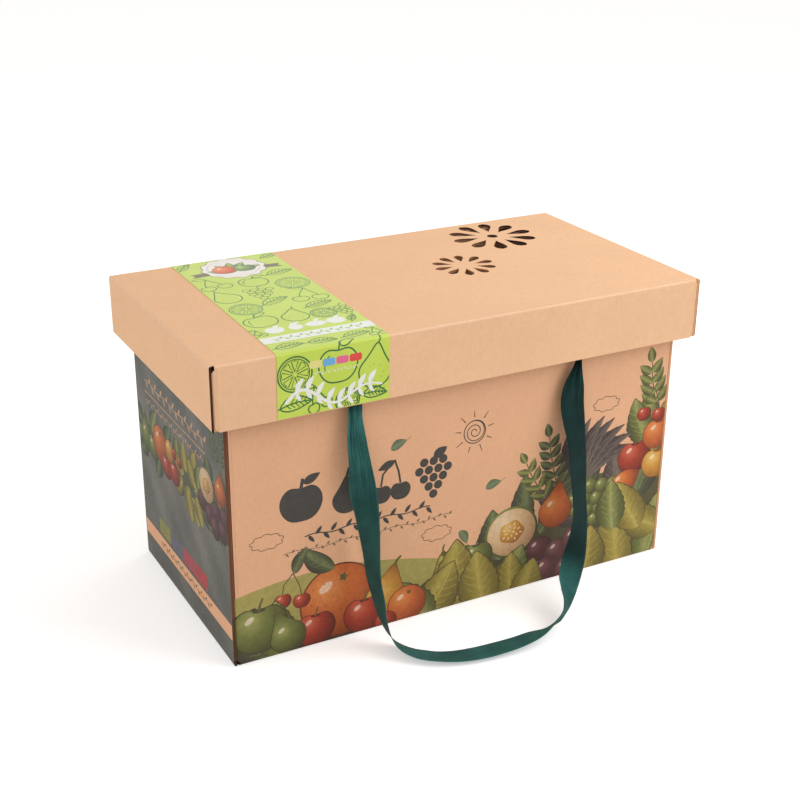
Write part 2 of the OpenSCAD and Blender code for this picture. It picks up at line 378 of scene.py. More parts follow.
def board(name, colour, raw_edge, fold_light, shade_and_ink, flute_axis):
    """Corrugated board: kraft paper, painted dark where it is cut as the shade in its flutes,
    with a painted highlight along its folds and painted shade in the crease lines.

    The cut edges are painted paler, as if lit, in the vents and at the box's right end.
    """
    finish = Finish(name)
    place = finish.place()
    paper, height = kraft_paper(finish, place, colour, flute_axis)
    cut = raw_edge(finish, place)
    fold_highlight, crease_shade = fold_light(finish, place)
    # Painted highlight along the folds and painted shade in the crease lines, in patches.
    fold_light_patches = finish.noise(place, 90, 3).stretch(0.3, 0.6, 0.5, 1.0)
    paper = finish.blend(fold_highlight * fold_light_patches * 0.42, paper, tint(255, 222, 192))
    paper = finish.blend(crease_shade * fold_light_patches * 0.14, paper, tint(150, 100, 70))
    # The cut edges are painted dark for the shade inside the flutes.
    edge = finish.blend(finish.noise(place, 700, 2), tint(30, 13, 6), tint(66, 36, 20))
    # Painted light on the cut edges: paler in the vents toward the left, paler at the right end, and brown
    # on the right end's outermost layer.
    x, y = finish.parts(place)[:2]
    inner = (x.size() < RIGHT_END) * (y.size() < 100 * MM)
    edge = finish.blend(inner * x.stretch(0.06, 0.12, 1.0, 0.0), edge, tint(176, 120, 84))
    edge = finish.blend(x > RIGHT_END, edge, tint(220, 168, 128))
    edge = finish.blend(x > LAST_LINE, edge, tint(150, 92, 52))
    shown = finish.blend(cut, paper, edge)
    # Painted shade, and on the base some ink, laid over the board.
    for where_marked, mark_colour in shade_and_ink(finish, place):
        shown = finish.blend(where_marked, shown, mark_colour)
    return finish.surface(
        Base_Color=shown, Roughness=0.82, Specular_IOR_Level=0.25,
        Normal=finish.relief(height, 0.00012, 0.35),
    )


print("the paper's stripes repeat every", FLUTE, "mm")

# %% Where each sheet is cut and folded
BASE_LOW, BASE_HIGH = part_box("base_tray")
LID_LOW, LID_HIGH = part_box("lid_tray")
BOARD = 2 * MM
END_LAYERS = 6.6 * MM
CUT_REACH = 0.85 * MM
LOCK_MIDDLE, LOCK_REACH = 48 * MM, 20.1 * MM


def near(value, place, reach):
    """1 where a value lies within reach of a place."""
    return (value - place).size() < reach


def base_cuts(finish, place):
    """The long walls' rims, the ends' upright edges and the tongues in the floor."""
    x, y, z = finish.parts(place)
    ny, nz = facing(finish)[1:]
    x, y = x.size(), y.size()
    rims = (nz > 0.9) * near(z, BASE_HIGH.z, 0.3 * MM) * near(y, BASE_HIGH.y - BOARD / 2, CUT_REACH)
    rims = rims * (x < BASE_HIGH.x - END_LAYERS)
    ends = (ny.size() > 0.9) * near(x, BASE_HIGH.x - BOARD / 2, CUT_REACH) * (y > BASE_HIGH.y - BOARD)
    tongues = (nz < -0.9) * near(x, BASE_HIGH.x - END_LAYERS + BOARD / 2, 1.1 * MM)
    tongues = tongues * near(y, LOCK_MIDDLE, LOCK_REACH)
    return rims.either(ends).either(tongues)


def lid_cuts(finish, place):
    """The long sides' rims, the ends' upright edges and the walls of the vents."""
    x, y, z = finish.parts(place)
    ny, nz = facing(finish)[1:]
    x, y = x.size(), y.size()
    rims = (nz < -0.9) * near(z, LID_LOW.z, 0.3 * MM) * near(y, LID_HIGH.y - BOARD / 2, CUT_REACH)
    rims = rims * (x < LID_HIGH.x - END_LAYERS)
    ends = (ny.size() > 0.9) * near(x, LID_HIGH.x - BOARD / 2, CUT_REACH) * (y > LID_HIGH.y - BOARD)
    vents = (nz.size() < 0.5) * near(z, LID_HIGH.z - BOARD / 2, CUT_REACH)
    vents = vents * (x < 180 * MM) * (y < 103 * MM)
    return rims.either(ends).either(vents)


def painted_fold_light(high, far_z):
    """Painted highlights along the folds at the height far_z and at the corners, and a line of painted
    shade in the crease beside each corner.
    """
    def fold_light(finish, place):
        x, y, z = finish.parts(place)
        side = near(y.size(), high.y - 0.4 * MM, 0.8 * MM)
        end = near(x.size(), high.x - 0.4 * MM, 0.8 * MM)
        corner = near(x.size(), high.x - 3 * MM, 0.5 * MM) * side
        fold_highlight = (near(z, far_z, 0.8 * MM) * side.either(end)).either(corner)
        crease_shade = near(x.size(), high.x - 4.8 * MM, 0.5 * MM) * side
        return fold_highlight, crease_shade
    return fold_light


def corner_relief(finish, place, high, near_z):
    """The small cut-outs at the corners of the sheet, where no light gets in."""
    x, y, z = finish.parts(place)
    return (
        near(x.size(), high.x - 2.9 * MM, 2.2 * MM) * near(y.size(), high.y - 3.7 * MM, 3 * MM)
        * near(z, near_z, 2 * MM)
    )


def base_shade_and_ink(finish, place):
    """Painted shade beside the left cut edges, at the left foot and in the left reliefs; ink over the
    lower part of the right cut edge.
    """
    x, y, z = finish.parts(place)
    y = y.size()
    # Painted shade: end_rim, low_rim, low_corner and the left reliefs are darkened; right_rim is ink.
    end_rim = near(y, 95.6 * MM, 0.75 * MM) * (x < -185 * MM)
    low_rim = near(x, -187.2 * MM, 1.05 * MM) * (y > 94 * MM) * (z < 40 * MM)
    low_corner = (x < -182.4 * MM) * (y > 93 * MM) * (z < 4.4 * MM)
    right_rim = (x > 185.6 * MM) * (y > 95.4 * MM) * (z < 146 * MM)
    right_ink = finish.blend(z > 66 * MM, tint(142, 112, 66), tint(164, 104, 62))
    return (
        (end_rim, tint(118, 74, 52)), (low_rim, tint(84, 60, 42)), (low_corner, tint(56, 52, 38)),
        (right_rim, right_ink),
        (corner_relief(finish, place, BASE_HIGH, 2.7 * MM) * (x < 0), tint(40, 22, 13)),
    )


def lid_relief_shade(finish, place):
    """Painted shade inside the reliefs at the lid's left corners."""
    x = finish.parts(place)[0]
    relief = corner_relief(finish, place, LID_HIGH, LID_HIGH.z - 2.7 * MM)
    return [(relief * (x < 0), tint(40, 22, 13))]


base_fold_light = painted_fold_light(BASE_HIGH, 0.4 * MM)
lid_fold_light = painted_fold_light(LID_HIGH, LID_HIGH.z - 0.4 * MM)
base_board = board("base_board", tint(236, 182, 143), base_cuts, base_fold_light, base_shade_and_ink, "x")
lid_board = board("lid_board", tint(242, 195, 154), lid_cuts, lid_fold_light, lid_relief_shade, "x")
wear(solids["base_tray"], base_board)
wear(solids["lid_tray"], lid_board)
print("boards:", base_board.name, lid_board.name)

# %% [markdown]
# ## Flutes at the cut edges
# Looking at a cut edge, one sees the wavy middle paper of the board between its two flat
# sheets. It repeats every 3.4 mm, so Geometry Nodes make it: straight lines along the edges
# are divided at that length, and one wave of paper is set at each point. The waves stand a
# tenth of a millimetre off the edge, which is as deep as such a cut is rough.

# %% Lines along the cut edges
def edge_lines(name, lines):
    """A mesh of straight lines, each with the direction that its cut edge faces."""
    mesh = bpy.data.meshes.new(name)
    points = [Vector(p) * MM for start, end, out in lines for p in (start, end)]
    mesh.from_pydata(points, [(2 * i, 2 * i + 1) for i in range(len(lines))], [])
    facing_out = mesh.attributes.new("out", "FLOAT_VECTOR", "POINT")
    for i, (start, end, out) in enumerate(lines):
        facing_out.data[2 * i].vector = out
        facing_out.data[2 * i + 1].vector = out
    piece = bpy.data.objects.new(name, mesh)
    bpy.context.scene.collection.objects.link(piece)
    return piece


END_GAP = 7.2
EDGE_INSET = 0.8
EDGE_START = 3.5


def cut_edges(low, high, opens_up):
    """Both long rims of a tray and its four upright end edges, in mm."""
    low, high = ([round(value / MM, 3) for value in corner] for corner in (low, high))
    rim, way = (high[2], 1) if opens_up else (low[2], -1)
    reach = high[0] - END_GAP
    lines = []
    for side in (-1, 1):
        y = side * (high[1] - 1)
        lines.append(((-reach, y, rim), (reach, y, rim), (0, 0, way)))
        for end in (-1, 1):
            x, edge = end * (high[0] - 1), side * (high[1] - EDGE_INSET)
            foot, head = low[2] + EDGE_START, high[2] - EDGE_START
            lines.append(((x, edge, foot), (x, edge, head), (0, side, 0)))
    return lines


base_edges = edge_lines("base_flutes", cut_edges(BASE_LOW, BASE_HIGH, True))
lid_edges = edge_lines("lid_flutes", cut_edges(LID_LOW, LID_HIGH, False))
print("cut edges:", len(base_edges.data.edges), "and", len(lid_edges.data.edges))

# %% The node tree that sets a wave of paper at each step
FLUTE_SIZES = {"Flute length": FLUTE, "Flute height": 0.6, "Paper": 0.22, "Stand": 0.08}


def flute_tree(paper_material):
    tree = bpy.data.node_groups.new("flutes", "GeometryNodeTree")
    face = tree.interface
    face.new_socket("Edges", in_out="INPUT", socket_type="NodeSocketGeometry")
    for name, value in FLUTE_SIZES.items():
        face.new_socket(name, in_out="INPUT", socket_type="NodeSocketFloat").default_value = value * MM
    face.new_socket("Flutes", in_out="OUTPUT", socket_type="NodeSocketGeometry")
    new, link = tree.nodes.new, tree.links.new
    given, result = new("NodeGroupInput"), new("NodeGroupOutput")

    def sum_of(operation, first, second):
        node = new("ShaderNodeMath")
        node.operation = operation
        for place, value in zip(node.inputs, (first, second)):
            if isinstance(value, bpy.types.NodeSocket):
                link(value, place)
            else:
                place.default_value = value
        return node.outputs[0]

    strip = new("GeometryNodeMeshGrid")
    strip.inputs["Vertices X"].default_value = 9
    strip.inputs["Vertices Y"].default_value = 2
    link(given.outputs["Flute length"], strip.inputs["Size X"])
    link(given.outputs["Paper"], strip.inputs["Size Y"])
    position, split = new("GeometryNodeInputPosition"), new("ShaderNodeSeparateXYZ")
    link(position.outputs[0], split.inputs[0])
    turns = sum_of("DIVIDE", split.outputs["X"], given.outputs["Flute length"])
    wave = sum_of("SINE", sum_of("MULTIPLY", turns, 2 * math.pi), 0.0)
    offset = new("ShaderNodeCombineXYZ")
    link(sum_of("MULTIPLY", wave, given.outputs["Flute height"]), offset.inputs["Y"])
    bend = new("GeometryNodeSetPosition")
    link(strip.outputs["Mesh"], bend.inputs["Geometry"])
    link(offset.outputs[0], bend.inputs["Offset"])
    raised = new("GeometryNodeExtrudeMesh")
    raised.inputs["Individual"].default_value = False
    link(bend.outputs[0], raised.inputs["Mesh"])
    link(given.outputs["Stand"], raised.inputs["Offset Scale"])
    under, whole = new("GeometryNodeFlipFaces"), new("GeometryNodeJoinGeometry")
    closed = new("GeometryNodeMergeByDistance")
    link(bend.outputs[0], under.inputs[0])
    link(raised.outputs["Mesh"], whole.inputs[0])
    link(under.outputs[0], whole.inputs[0])
    link(whole.outputs[0], closed.inputs["Geometry"])
    closed.inputs["Distance"].default_value = 0.001 * MM

    curves, steps = new("GeometryNodeMeshToCurve"), new("GeometryNodeResampleCurve")
    steps.mode = "LENGTH"
    link(given.outputs["Edges"], curves.inputs[0])
    link(curves.outputs[0], steps.inputs["Curve"])
    link(given.outputs["Flute length"], steps.inputs["Length"])
    out = new("GeometryNodeInputNamedAttribute")
    out.data_type = "FLOAT_VECTOR"
    out.inputs["Name"].default_value = "out"
    along = new("GeometryNodeInputTangent")
    turned, stood = new("FunctionNodeAlignRotationToVector"), new("FunctionNodeAlignRotationToVector")
    turned.axis, stood.axis, stood.pivot_axis = "X", "Z", "X"
    link(along.outputs[0], turned.inputs["Vector"])
    link(turned.outputs[0], stood.inputs["Rotation"])
    link(out.outputs["Attribute"], stood.inputs["Vector"])
    placed = new("GeometryNodeInstanceOnPoints")
    link(steps.outputs[0], placed.inputs["Points"])
    link(closed.outputs[0], placed.inputs["Instance"])
    link(stood.outputs[0], placed.inputs["Rotation"])
    real, painted = new("GeometryNodeRealizeInstances"), new("GeometryNodeSetMaterial")
    painted.inputs["Material"].default_value = paper_material
    link(placed.outputs[0], real.inputs[0])
    link(real.outputs[0], painted.inputs["Geometry"])
    link(painted.outputs[0], result.inputs[0])
    return tree


def grow(piece, tree, sizes, body):
    """Runs the tree on a piece, keeps its result as a plain mesh, and lets it ride on a body."""
    modifier = piece.modifiers.new("grow", "NODES")
    modifier.node_group = tree
    inputs = [item for item in tree.interface.items_tree if item.in_out == "INPUT"]
    sockets = {item.name: item.identifier for item in inputs}
    for name, value in sizes.items():
        modifier[sockets[name]] = value
    bpy.context.view_layer.update()
    mesh = bpy.data.meshes.new_from_object(piece.evaluated_get(bpy.context.evaluated_depsgraph_get()))
    piece.modifiers.remove(modifier)
    piece.data = mesh
    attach(piece, body)
    print(piece.name, "faces:", len(mesh.polygons))
    return piece


print("sizes of a flute in mm:", FLUTE_SIZES)

# %% Grow the flutes on both sheets
def flute_paper():
    """The brown middle paper, painted paler at the right end as if lit there."""
    finish = Finish("flute_paper")
    place = finish.place()
    colour = finish.blend(finish.noise(place, 900, 2), tint(84, 50, 30), tint(126, 84, 54))
    # Painted light: the flutes at the right end are paler, as lit.
    colour = finish.blend(finish.parts(place)[0] > RIGHT_END, colour, tint(214, 162, 122))
    return finish.surface(Base_Color=colour, Roughness=0.9)


flutes = flute_tree(flute_paper())
for edges, body, board_slot in ((base_edges, "base", "base_board"), (lid_edges, "lid", "lid_board")):
    grow(edges, flutes, {"Flute height": 0.62 * MM}, body)

# %% [markdown]
# ## The ribbon's cloth
# The cloth is a dark green twill with a soft sheen. Its diagonal ribs are painted and raised
# from the cloth's own coordinates, and a firmer woven edge runs along both sides. Light and
# shade are painted into its colour along the ribbon: lighter near the top of the left strand
# and on the floor, darker at its very ends and from the right strand on, with painted light
# and dark streaks in the gathers.

# %% Twill
# Painted light and shade along the ribbon: from and to, in ribbon widths, and the brightness at both.
PAINTED_LIGHT_ALONG = (
    (1.4, 3, 1.5, 1), (9, 10.5, 1, 1.3), (18.9, 20.1, 1, 0.24),
    (0.8, 1.35, 0.3, 1), (27.3, 27.8, 1, 0.5),
)


def twill():
    finish = Finish("twill")
    uv = finish.add("ShaderNodeUVMap", {"uv_map": "cloth"})
    across, travel = finish.parts(uv)[:2]
    width = RIBBON_WIDTH * MM
    across, along = across * width, travel * width
    ribs = (across * 0.85 + along * 0.53).wave(1.15 * MM)
    threads = (across * 0.5 - along * 0.87).wave(0.5 * MM)
    border = ((across - width / 2).size() > width / 2 - 1.1 * MM)
    worn = finish.noise(finish.place(), 60, 3).stretch(0.35, 0.65)
    tone = ribs.stretch(-1, 1, 0.0, 1.0) * 0.75 + threads.stretch(-1, 1, 0.0, 1.0) * 0.25
    cloth = finish.blend(tone, tint(12, 49, 47), tint(63, 116, 111))
    cloth = finish.blend(worn * 0.2, cloth, tint(50, 108, 102))
    cloth = finish.blend(border * 0.4, cloth, tint(66, 126, 120))
    # Painted light and shade along the ribbon, varied a little at random.
    painted_light = travel.stretch(*PAINTED_LIGHT_ALONG[0])
    for row in PAINTED_LIGHT_ALONG[1:]:
        painted_light = painted_light * travel.stretch(*row)
    painted_light = painted_light * finish.noise(finish.place(), 55, 3).stretch(0.35, 0.65, 0.82, 1.22)
    # Painted light and dark streaks in the gathered parts stand in for the shade of the pleats.
    gathered = travel.stretch(2.2, 5.4, 1, 0) + travel.stretch(24.6, 27, 0, 1)
    streak_noise = finish.noise(finish.scaled(uv, (24, 0.8, 1), (0.3, 0.1, 0.5)), 1, 2)
    pleat_shading = streak_noise.stretch(0.3, 0.7, -0.55, 0.75)
    painted_light = painted_light * (1 + gathered * pleat_shading)
    cloth = finish.blend(1.0, cloth, finish.grey(painted_light), "MULTIPLY")
    height = ribs * 0.6 + threads * 0.4 + border * 0.8
    return finish.surface(
        Base_Color=cloth, Roughness=0.5, Specular_IOR_Level=0.08,
        Sheen_Weight=0.02, Sheen_Roughness=0.35, Sheen_Tint=tint(140, 190, 184),
        Normal=finish.relief(height, 0.00025, 0.9),
    )


wear(ribbon, twill())
print("ribbon material:", ribbon.data.materials[0].name)

# %% [markdown]
# ## The barbs
# Each end of the ribbon is gripped by a small moulded crossbar inside the wall. It is plain
# polyethylene: whitish, slightly glossy, with a faint grain from its mould.

# %% Moulded plastic
def moulded():
    finish = Finish("barb_plastic")
    place = finish.place()
    grain = finish.noise(place, 900, 2)
    colour = finish.blend(grain * 0.4, tint(230, 230, 220), tint(214, 213, 201))
    return finish.surface(
        Base_Color=colour, Roughness=grain.stretch(0.2, 0.8, 0.34, 0.46),
        Normal=finish.relief(grain, 0.00005, 0.3),
    )


barb_plastic = moulded()
for barb in ("handle_barb_left", "handle_barb_right"):
    wear(solids[barb], barb_plastic)
print("barbs wear", barb_plastic.name)

# %% [markdown]
# ## Printed skins
# Ink lies on the paper as flat fields of colour. Each printed side is drawn as shapes on a
# flat sheet in millimetres, later ones over earlier ones. One planar triangulation then cuts
# all of them into a single skin, so no two layers of ink lie in the same place. Every corner
# of a triangle gets a colour from the shape on top of it, which gives soft shading inside a
# shape and a sharp edge around it. The flat skin is finally laid on the board, round its folds.

# %% Cut drawn shapes into one skin
class Print:
    """Inked shapes on a flat sheet in millimetres, cut into one skin.

    A veil is one colour that all inks lean towards, by a share. The pen scales all strokes.
    """

    def __init__(self, sheet, veil=(0, 0, 0, 1), veil_share=0.0):
        self.sheet = sheet
        self.veil, self.veil_share = veil, veil_share
        self.pen = 1.0
        self.areas = []

    def area(self, outline, ink):
        self.areas.append(([outline], ink))

    def shape(self, outline, x, y, angle, ink):
        """An outline drawn about the origin, turned and moved to x, y."""
        self.area(turned(outline, x, y, angle), ink)

    def stroke(self, points, x, y, angle, width, ink, end_width=None):
        """A line drawn about the origin, turned and moved to x, y."""
        self.line(turned(points, x, y, angle), width, ink, end_width)

    def line(self, points, width, ink, end_width=None):
        """A stroke through the points, from its width to end_width."""
        points = [Vector(p) for p in points]
        last = len(points) - 1
        end_width = width if end_width is None else end_width
        left, right = [], []
        for i, point in enumerate(points):
            heading = (points[min(i + 1, last)] - points[max(i - 1, 0)]).normalized()
            reach = self.pen * (width + (end_width - width) * i / last) / 2
            side = Vector((-heading.y, heading.x)) * reach
            left.append(point + side)
            right.append(point - side)
        quads = [[right[i], right[i + 1], left[i + 1], left[i]] for i in range(last)]
        self.areas.append((quads, ink))

    def skin(self, name, lay, creases=(), grain=None):
        """The skin as an object. lay puts a point of the sheet on the box, in mm."""
        points, faces, edges, owner = [], [], [], []

        def add(outline, number):
            twice = sum(a[0] * b[1] - b[0] * a[1] for a, b in zip(outline, [*outline[1:], outline[0]]))
            if abs(twice) < 0.002:
                return
            ring = [Vector(p[:2]) for p in (outline if twice > 0 else outline[::-1])]
            faces.append(list(range(len(points), len(points) + len(ring))))
            owner.append(number)
            points.extend(ring)

        add(self.sheet, -1)
        for number, (outlines, ink) in enumerate(self.areas):
            for outline in outlines:
                add(outline, number)
        for start, end in creases:
            edges.append((len(points), len(points) + 1))
            points.extend((Vector(start), Vector(end)))
        if grain:
            xs, ys = [p[0] for p in self.sheet], [p[1] for p in self.sheet]
            rows = int((max(ys) - min(ys)) / grain)
            columns = int((max(xs) - min(xs)) / grain)
            for row in range(1, rows):
                shift = 0.25 + 0.5 * (row % 2)
                points.extend(
                    Vector((min(xs) + (column + shift) * grain, min(ys) + row * grain))
                    for column in range(1, columns)
                )
        cut = geometry.delaunay_2d_cdt(points, edges, faces, 1, 1e-5, True)
        corners, triangles, sources = cut[0], cut[2], cut[5]
        kept, colours = [], []
        for triangle, source in zip(triangles, sources):
            numbers = [owner[i] for i in source]
            if -1 not in numbers or max(numbers) < 0:
                continue
            ink = self.areas[max(numbers)][1]
            kept.append(triangle)
            shown = [ink(*corners[i]) if callable(ink) else ink for i in triangle]
            colours.extend(mixed(colour, self.veil, self.veil_share) for colour in shown)
        used = sorted({i for triangle in kept for i in triangle})
        new_place = {old: new for new, old in enumerate(used)}
        mesh = bpy.data.meshes.new(name)
        mesh.from_pydata(
            [Vector(lay(*corners[i])) * MM for i in used], [],
            [[new_place[i] for i in triangle] for triangle in kept],
        )
        shades = mesh.color_attributes.new("ink", "FLOAT_COLOR", "CORNER")
        shades.data.foreach_set("color", [value for colour in colours for value in colour])
        piece = bpy.data.objects.new(name, mesh)
        bpy.context.scene.collection.objects.link(piece)
        print(name, "triangles:", len(kept))
        return piece


# %% [markdown]
# The drawing itself needs only a few kinds of line: a closed curve with lobes for a fruit, a
# pointed leaf, and strokes. A shaded ink is a function that gives the colour at a place. It
# runs from light, on the side that the light comes from, to dark on the other.

# %% Outlines and inks
def mixed(first, second, share):
    share = min(1.0, max(0.0, share))
    return tuple(a + (b - a) * share for a, b in zip(first, second))


def round_ink(x, y, radius, light, body, dark):
    """Shading of a ball at x, y, lit from the upper left."""
    def ink(px, py):
        reach = math.hypot(px - x + 0.34 * radius, py - y - 0.38 * radius) / radius
        near_light = mixed(light, body, reach / 0.62)
        return near_light if reach < 0.62 else mixed(body, dark, (reach - 0.62) / 0.8)
    return ink


def turned(points, x, y, angle):
    """Points about the origin, turned by degrees and moved to x, y."""
    c, s = math.cos(math.radians(angle)), math.sin(math.radians(angle))
    return [(x + px * c - py * s, y + px * s + py * c) for px, py in points]


def lobed(wide, high, lobes=0, depth=0.0, steps=40, start=0.0):
    """A closed round outline, with soft lobes if asked."""
    outline = []
    for i in range(steps):
        a = 2 * math.pi * i / steps
        swell = 1 + depth * math.cos(lobes * a + start)
        outline.append((wide * swell * math.cos(a), high * swell * math.sin(a)))
    return outline


def apple_outline(r):
    """An apple: full at the sides and dipped at top and bottom."""
    outline = []
    for i in range(40):
        a = 2 * math.pi * i / 40
        dip = 1 - 0.22 * max(0.0, math.sin(a)) ** 12 - 0.09 * max(0.0, -math.sin(a)) ** 8
        reach = r * 1.04 * math.cos(a) * (1 - 0.07 * math.sin(a + math.pi))
        outline.append((reach, r * 0.97 * math.sin(a) * dip))
    return outline


def pear_outline(r):
    """A pear: a round belly and a slim neck."""
    outline = []
    for i in range(40):
        a = 2 * math.pi * i / 40
        neck = max(0.0, math.sin(a)) ** 2
        outline.append((r * math.cos(a) * (1 - 0.42 * neck), r * math.sin(a) * (1 + 0.62 * neck ** 2)))
    return outline


def lemon_outline(r):
    """A lemon: an oval with a small point at each end."""
    outline = []
    for i in range(36):
        a = 2 * math.pi * i / 36
        tip = 0.22 * abs(math.cos(a)) ** 14
        outline.append((r * (1.12 + tip) * math.cos(a), r * 0.78 * math.sin(a)))
    return outline


def leaf_outline(length, width, bend=0.0, teeth=0, steps=14):
    """A pointed leaf along +X from its stalk, bent to one side, with toothed edges if asked."""
    def spot(share, side):
        half = width / 2 * math.sin(math.pi * share ** 0.8) ** 0.85
        tooth = 1 + (0.14 * ((share * teeth) % 1.0) if teeth else 0)
        return (length * share, side * half * tooth + bend * length * math.sin(math.pi * share))
    shares = [i / steps for i in range(steps + 1)]
    lower = [spot(s, -1) for s in shares]
    return lower + [spot(s, 1) for s in reversed(shares[1:-1])]


def leaf_ink(x, y, angle, width, rib, body, rim):
    """Shading of a leaf from its midrib to its edge, one half darker than the other."""
    c, s = math.cos(math.radians(angle)), math.sin(math.radians(angle))
    def ink(px, py):
        across = (-(px - x) * s + (py - y) * c) / (width / 2)
        colour = mixed(rib, body, abs(across) * 2.2)
        colour = mixed(colour, rim, (abs(across) - 0.4) * 1.2)
        return mixed(colour, rim, 0.35) if across < 0 else colour
    return ink


def arc(x, y, radius, start, end, steps=16, rise=1.0):
    angles = [math.radians(start + (end - start) * i / steps) for i in range(steps + 1)]
    return [(x + radius * math.cos(a), y + radius * rise * math.sin(a)) for a in angles]


print("an apple's outline has", len(apple_outline(10)), "points")

# %% [markdown]
# ## The front print
# A heap of fruit and leaves runs along the foot of the front and rises to the right, in muted
# inks on the bare kraft. Over it stand dark fruit shapes in a row, a fine twig, a small sun,
# clouds and loose leaves. The colours are plain families of ink, and each fruit is a few
# shaded shapes.

# %% Inks
ORANGE = (tint(233, 150, 82), tint(205, 104, 46), tint(140, 58, 26))
RED = (tint(214, 104, 78), tint(168, 50, 34), tint(96, 24, 20))
YELLOW = (tint(236, 196, 112), tint(206, 148, 56), tint(150, 92, 34))
GREEN = (tint(160, 164, 96), tint(106, 118, 58), tint(58, 70, 40))
PLUM = (tint(132, 84, 92), tint(84, 44, 54), tint(46, 26, 34))
CREAM = (tint(240, 214, 176), tint(222, 186, 142), tint(176, 132, 92))
OLIVE = (tint(186, 170, 84), tint(150, 136, 58), tint(98, 92, 44))
FOREST = (tint(120, 132, 86), tint(74, 90, 62), tint(44, 56, 46))
SLATE = (tint(122, 112, 102), tint(82, 76, 76), tint(52, 48, 52))
STALK = tint(92, 92, 52)
DARK_INK = tint(48, 58, 60)
FINE_INK = tint(104, 92, 74)
RIM_INK = tint(48, 44, 36)


def leaf(sheet, x, y, length, width, angle, inks, bend=0.0, teeth=0, veins=4):
    """A shaded leaf with a midrib and side veins."""
    def on_rib(s):
        return length * s, bend * length * math.sin(math.pi * s)

    steps = 24 if teeth else 14
    rim = leaf_outline(length * 1.02, width * 1.08, bend, teeth, steps)
    sheet.shape(rim, x, y, angle, mixed(inks[2], RIM_INK, 0.4))
    blade = leaf_outline(length, width, bend, teeth, steps)
    sheet.shape(blade, x, y, angle, leaf_ink(x, y, angle, width, *inks))
    rib = [on_rib(s) for s in (0.02, 0.2, 0.4, 0.6, 0.8, 0.95)]
    sheet.stroke(rib, x, y, angle, width * 0.05, inks[0], width * 0.02)
    vein_ink = mixed(inks[0], inks[1], 0.4)
    for i in range(veins):
        s = 0.18 + 0.62 * i / max(1, veins - 1)
        root_x, root_y = on_rib(s)
        spread = width * 0.34 * math.sin(math.pi * s ** 0.8)
        for side in (-1, 1):
            tip_x, tip_y = root_x + length * 0.14, root_y + side * spread
            middle = ((root_x + tip_x) / 2 - length * 0.01, (root_y + tip_y) / 2 + side * width * 0.03)
            vein = [(root_x, root_y), middle, (tip_x, tip_y)]
            sheet.stroke(vein, x, y, angle, width * 0.03, vein_ink, width * 0.015)


def gloss(sheet, x, y, r, inks):
    """A small bright spot where the light falls."""
    ink = mixed(inks[0], tint(255, 236, 214), 0.55)
    sheet.shape(lobed(r * 0.2, r * 0.11, steps=14), x - 0.36 * r, y + 0.42 * r, 35, ink)


def stalk(sheet, x, y, height, lean, width=1.4):
    points = [(x, y), (x + lean * 0.3, y + height * 0.5), (x + lean, y + height)]
    sheet.line(points, width, STALK, width * 0.7)


def scattered(x, y, reach, count, rise):
    """Spots spread over a disc from its middle outwards, each with its direction in degrees."""
    for i in range(count):
        a, far = i * 2.4, reach * math.sqrt((i + 0.5) / count)
        yield x + far * math.cos(a), y + far * rise * math.sin(a), math.degrees(a)


def fruit(sheet, outline, x, y, r, inks, angle=0, shine=True):
    """A shaded fruit with a thin dark rim."""
    rim = [(px * 1.045, py * 1.045) for px, py in outline]
    sheet.shape(rim, x, y, angle, mixed(inks[2], RIM_INK, 0.5))
    sheet.shape(outline, x, y, angle, round_ink(x, y, r, *inks))
    if shine:
        gloss(sheet, x, y, r, inks)


def apple(sheet, x, y, r, inks):
    fruit(sheet, apple_outline(r), x, y, r, inks)
    sheet.shape(lobed(r * 0.26, r * 0.08, steps=12), x, y + r * 0.74, 0, inks[2])
    stalk(sheet, x, y + r * 0.7, r * 0.5, r * 0.16, r * 0.1)


def pear(sheet, x, y, r, inks, angle=0):
    fruit(sheet, pear_outline(r), x, y, r, inks, angle)
    tip = turned([(0, r * 1.58), (r * 0.05, r * 1.85), (r * 0.2, r * 2.05)], x, y, angle)
    sheet.line(tip, r * 0.14, STALK, r * 0.1)


def orange(sheet, x, y, r, inks):
    fruit(sheet, lobed(r, r * 0.95), x, y, r, inks)
    for px, py, _ in scattered(x, y, r * 0.9, 26, 0.93):
        sheet.shape(lobed(r * 0.016, r * 0.016, steps=6), px, py, 0, inks[2])
    sheet.shape(lobed(r * 0.1, r * 0.1, 5, 0.35, 15), x + r * 0.1, y + r * 0.6, 0, STALK)


def grapes(sheet, x, y, r, rows, inks):
    """A hanging bunch: round berries in rows that grow shorter."""
    for row in range(len(rows) - 1, -1, -1):
        for i in range(rows[row]):
            bx = x + (i - (rows[row] - 1) / 2) * r * 1.72 + r * 0.25 * math.sin(row * 2.1)
            by = y - row * r * 1.45 + r * 0.2 * math.sin(i * 1.7 + row)
            fruit(sheet, lobed(r, r, steps=18), bx, by, r, inks)


def cherries(sheet, x, y, r, inks):
    for side, drop in ((-1, 0), (1, 0.5)):
        cx, cy = x + side * r * 1.15, y - drop * r
        fruit(sheet, apple_outline(r), cx, cy, r, inks)
        stem = [(cx, cy + r * 0.8), (cx - side * r * 0.2, cy + r * 2), (x + r * 0.2, y + r * 3.2)]
        sheet.line(stem, r * 0.14, STALK)


def melon_half(sheet, x, y, r):
    """Half a melon, cut side out: green rind, cream flesh, seeds in the middle."""
    sheet.shape(lobed(r, r * 0.92), x, y, 0, round_ink(x, y, r, *GREEN))
    sheet.shape(lobed(r * 0.92, r * 0.84), x, y, 0, round_ink(x, y, r, *CREAM))
    sheet.shape(lobed(r * 0.46, r * 0.4, 5, 0.06), x, y, 0, round_ink(x, y, r * 0.5, *YELLOW))
    for px, py, way in scattered(x, y, r * 0.36, 14, 0.9):
        sheet.shape(lobed(r * 0.06, r * 0.028, steps=8), px, py, way, CREAM[0])


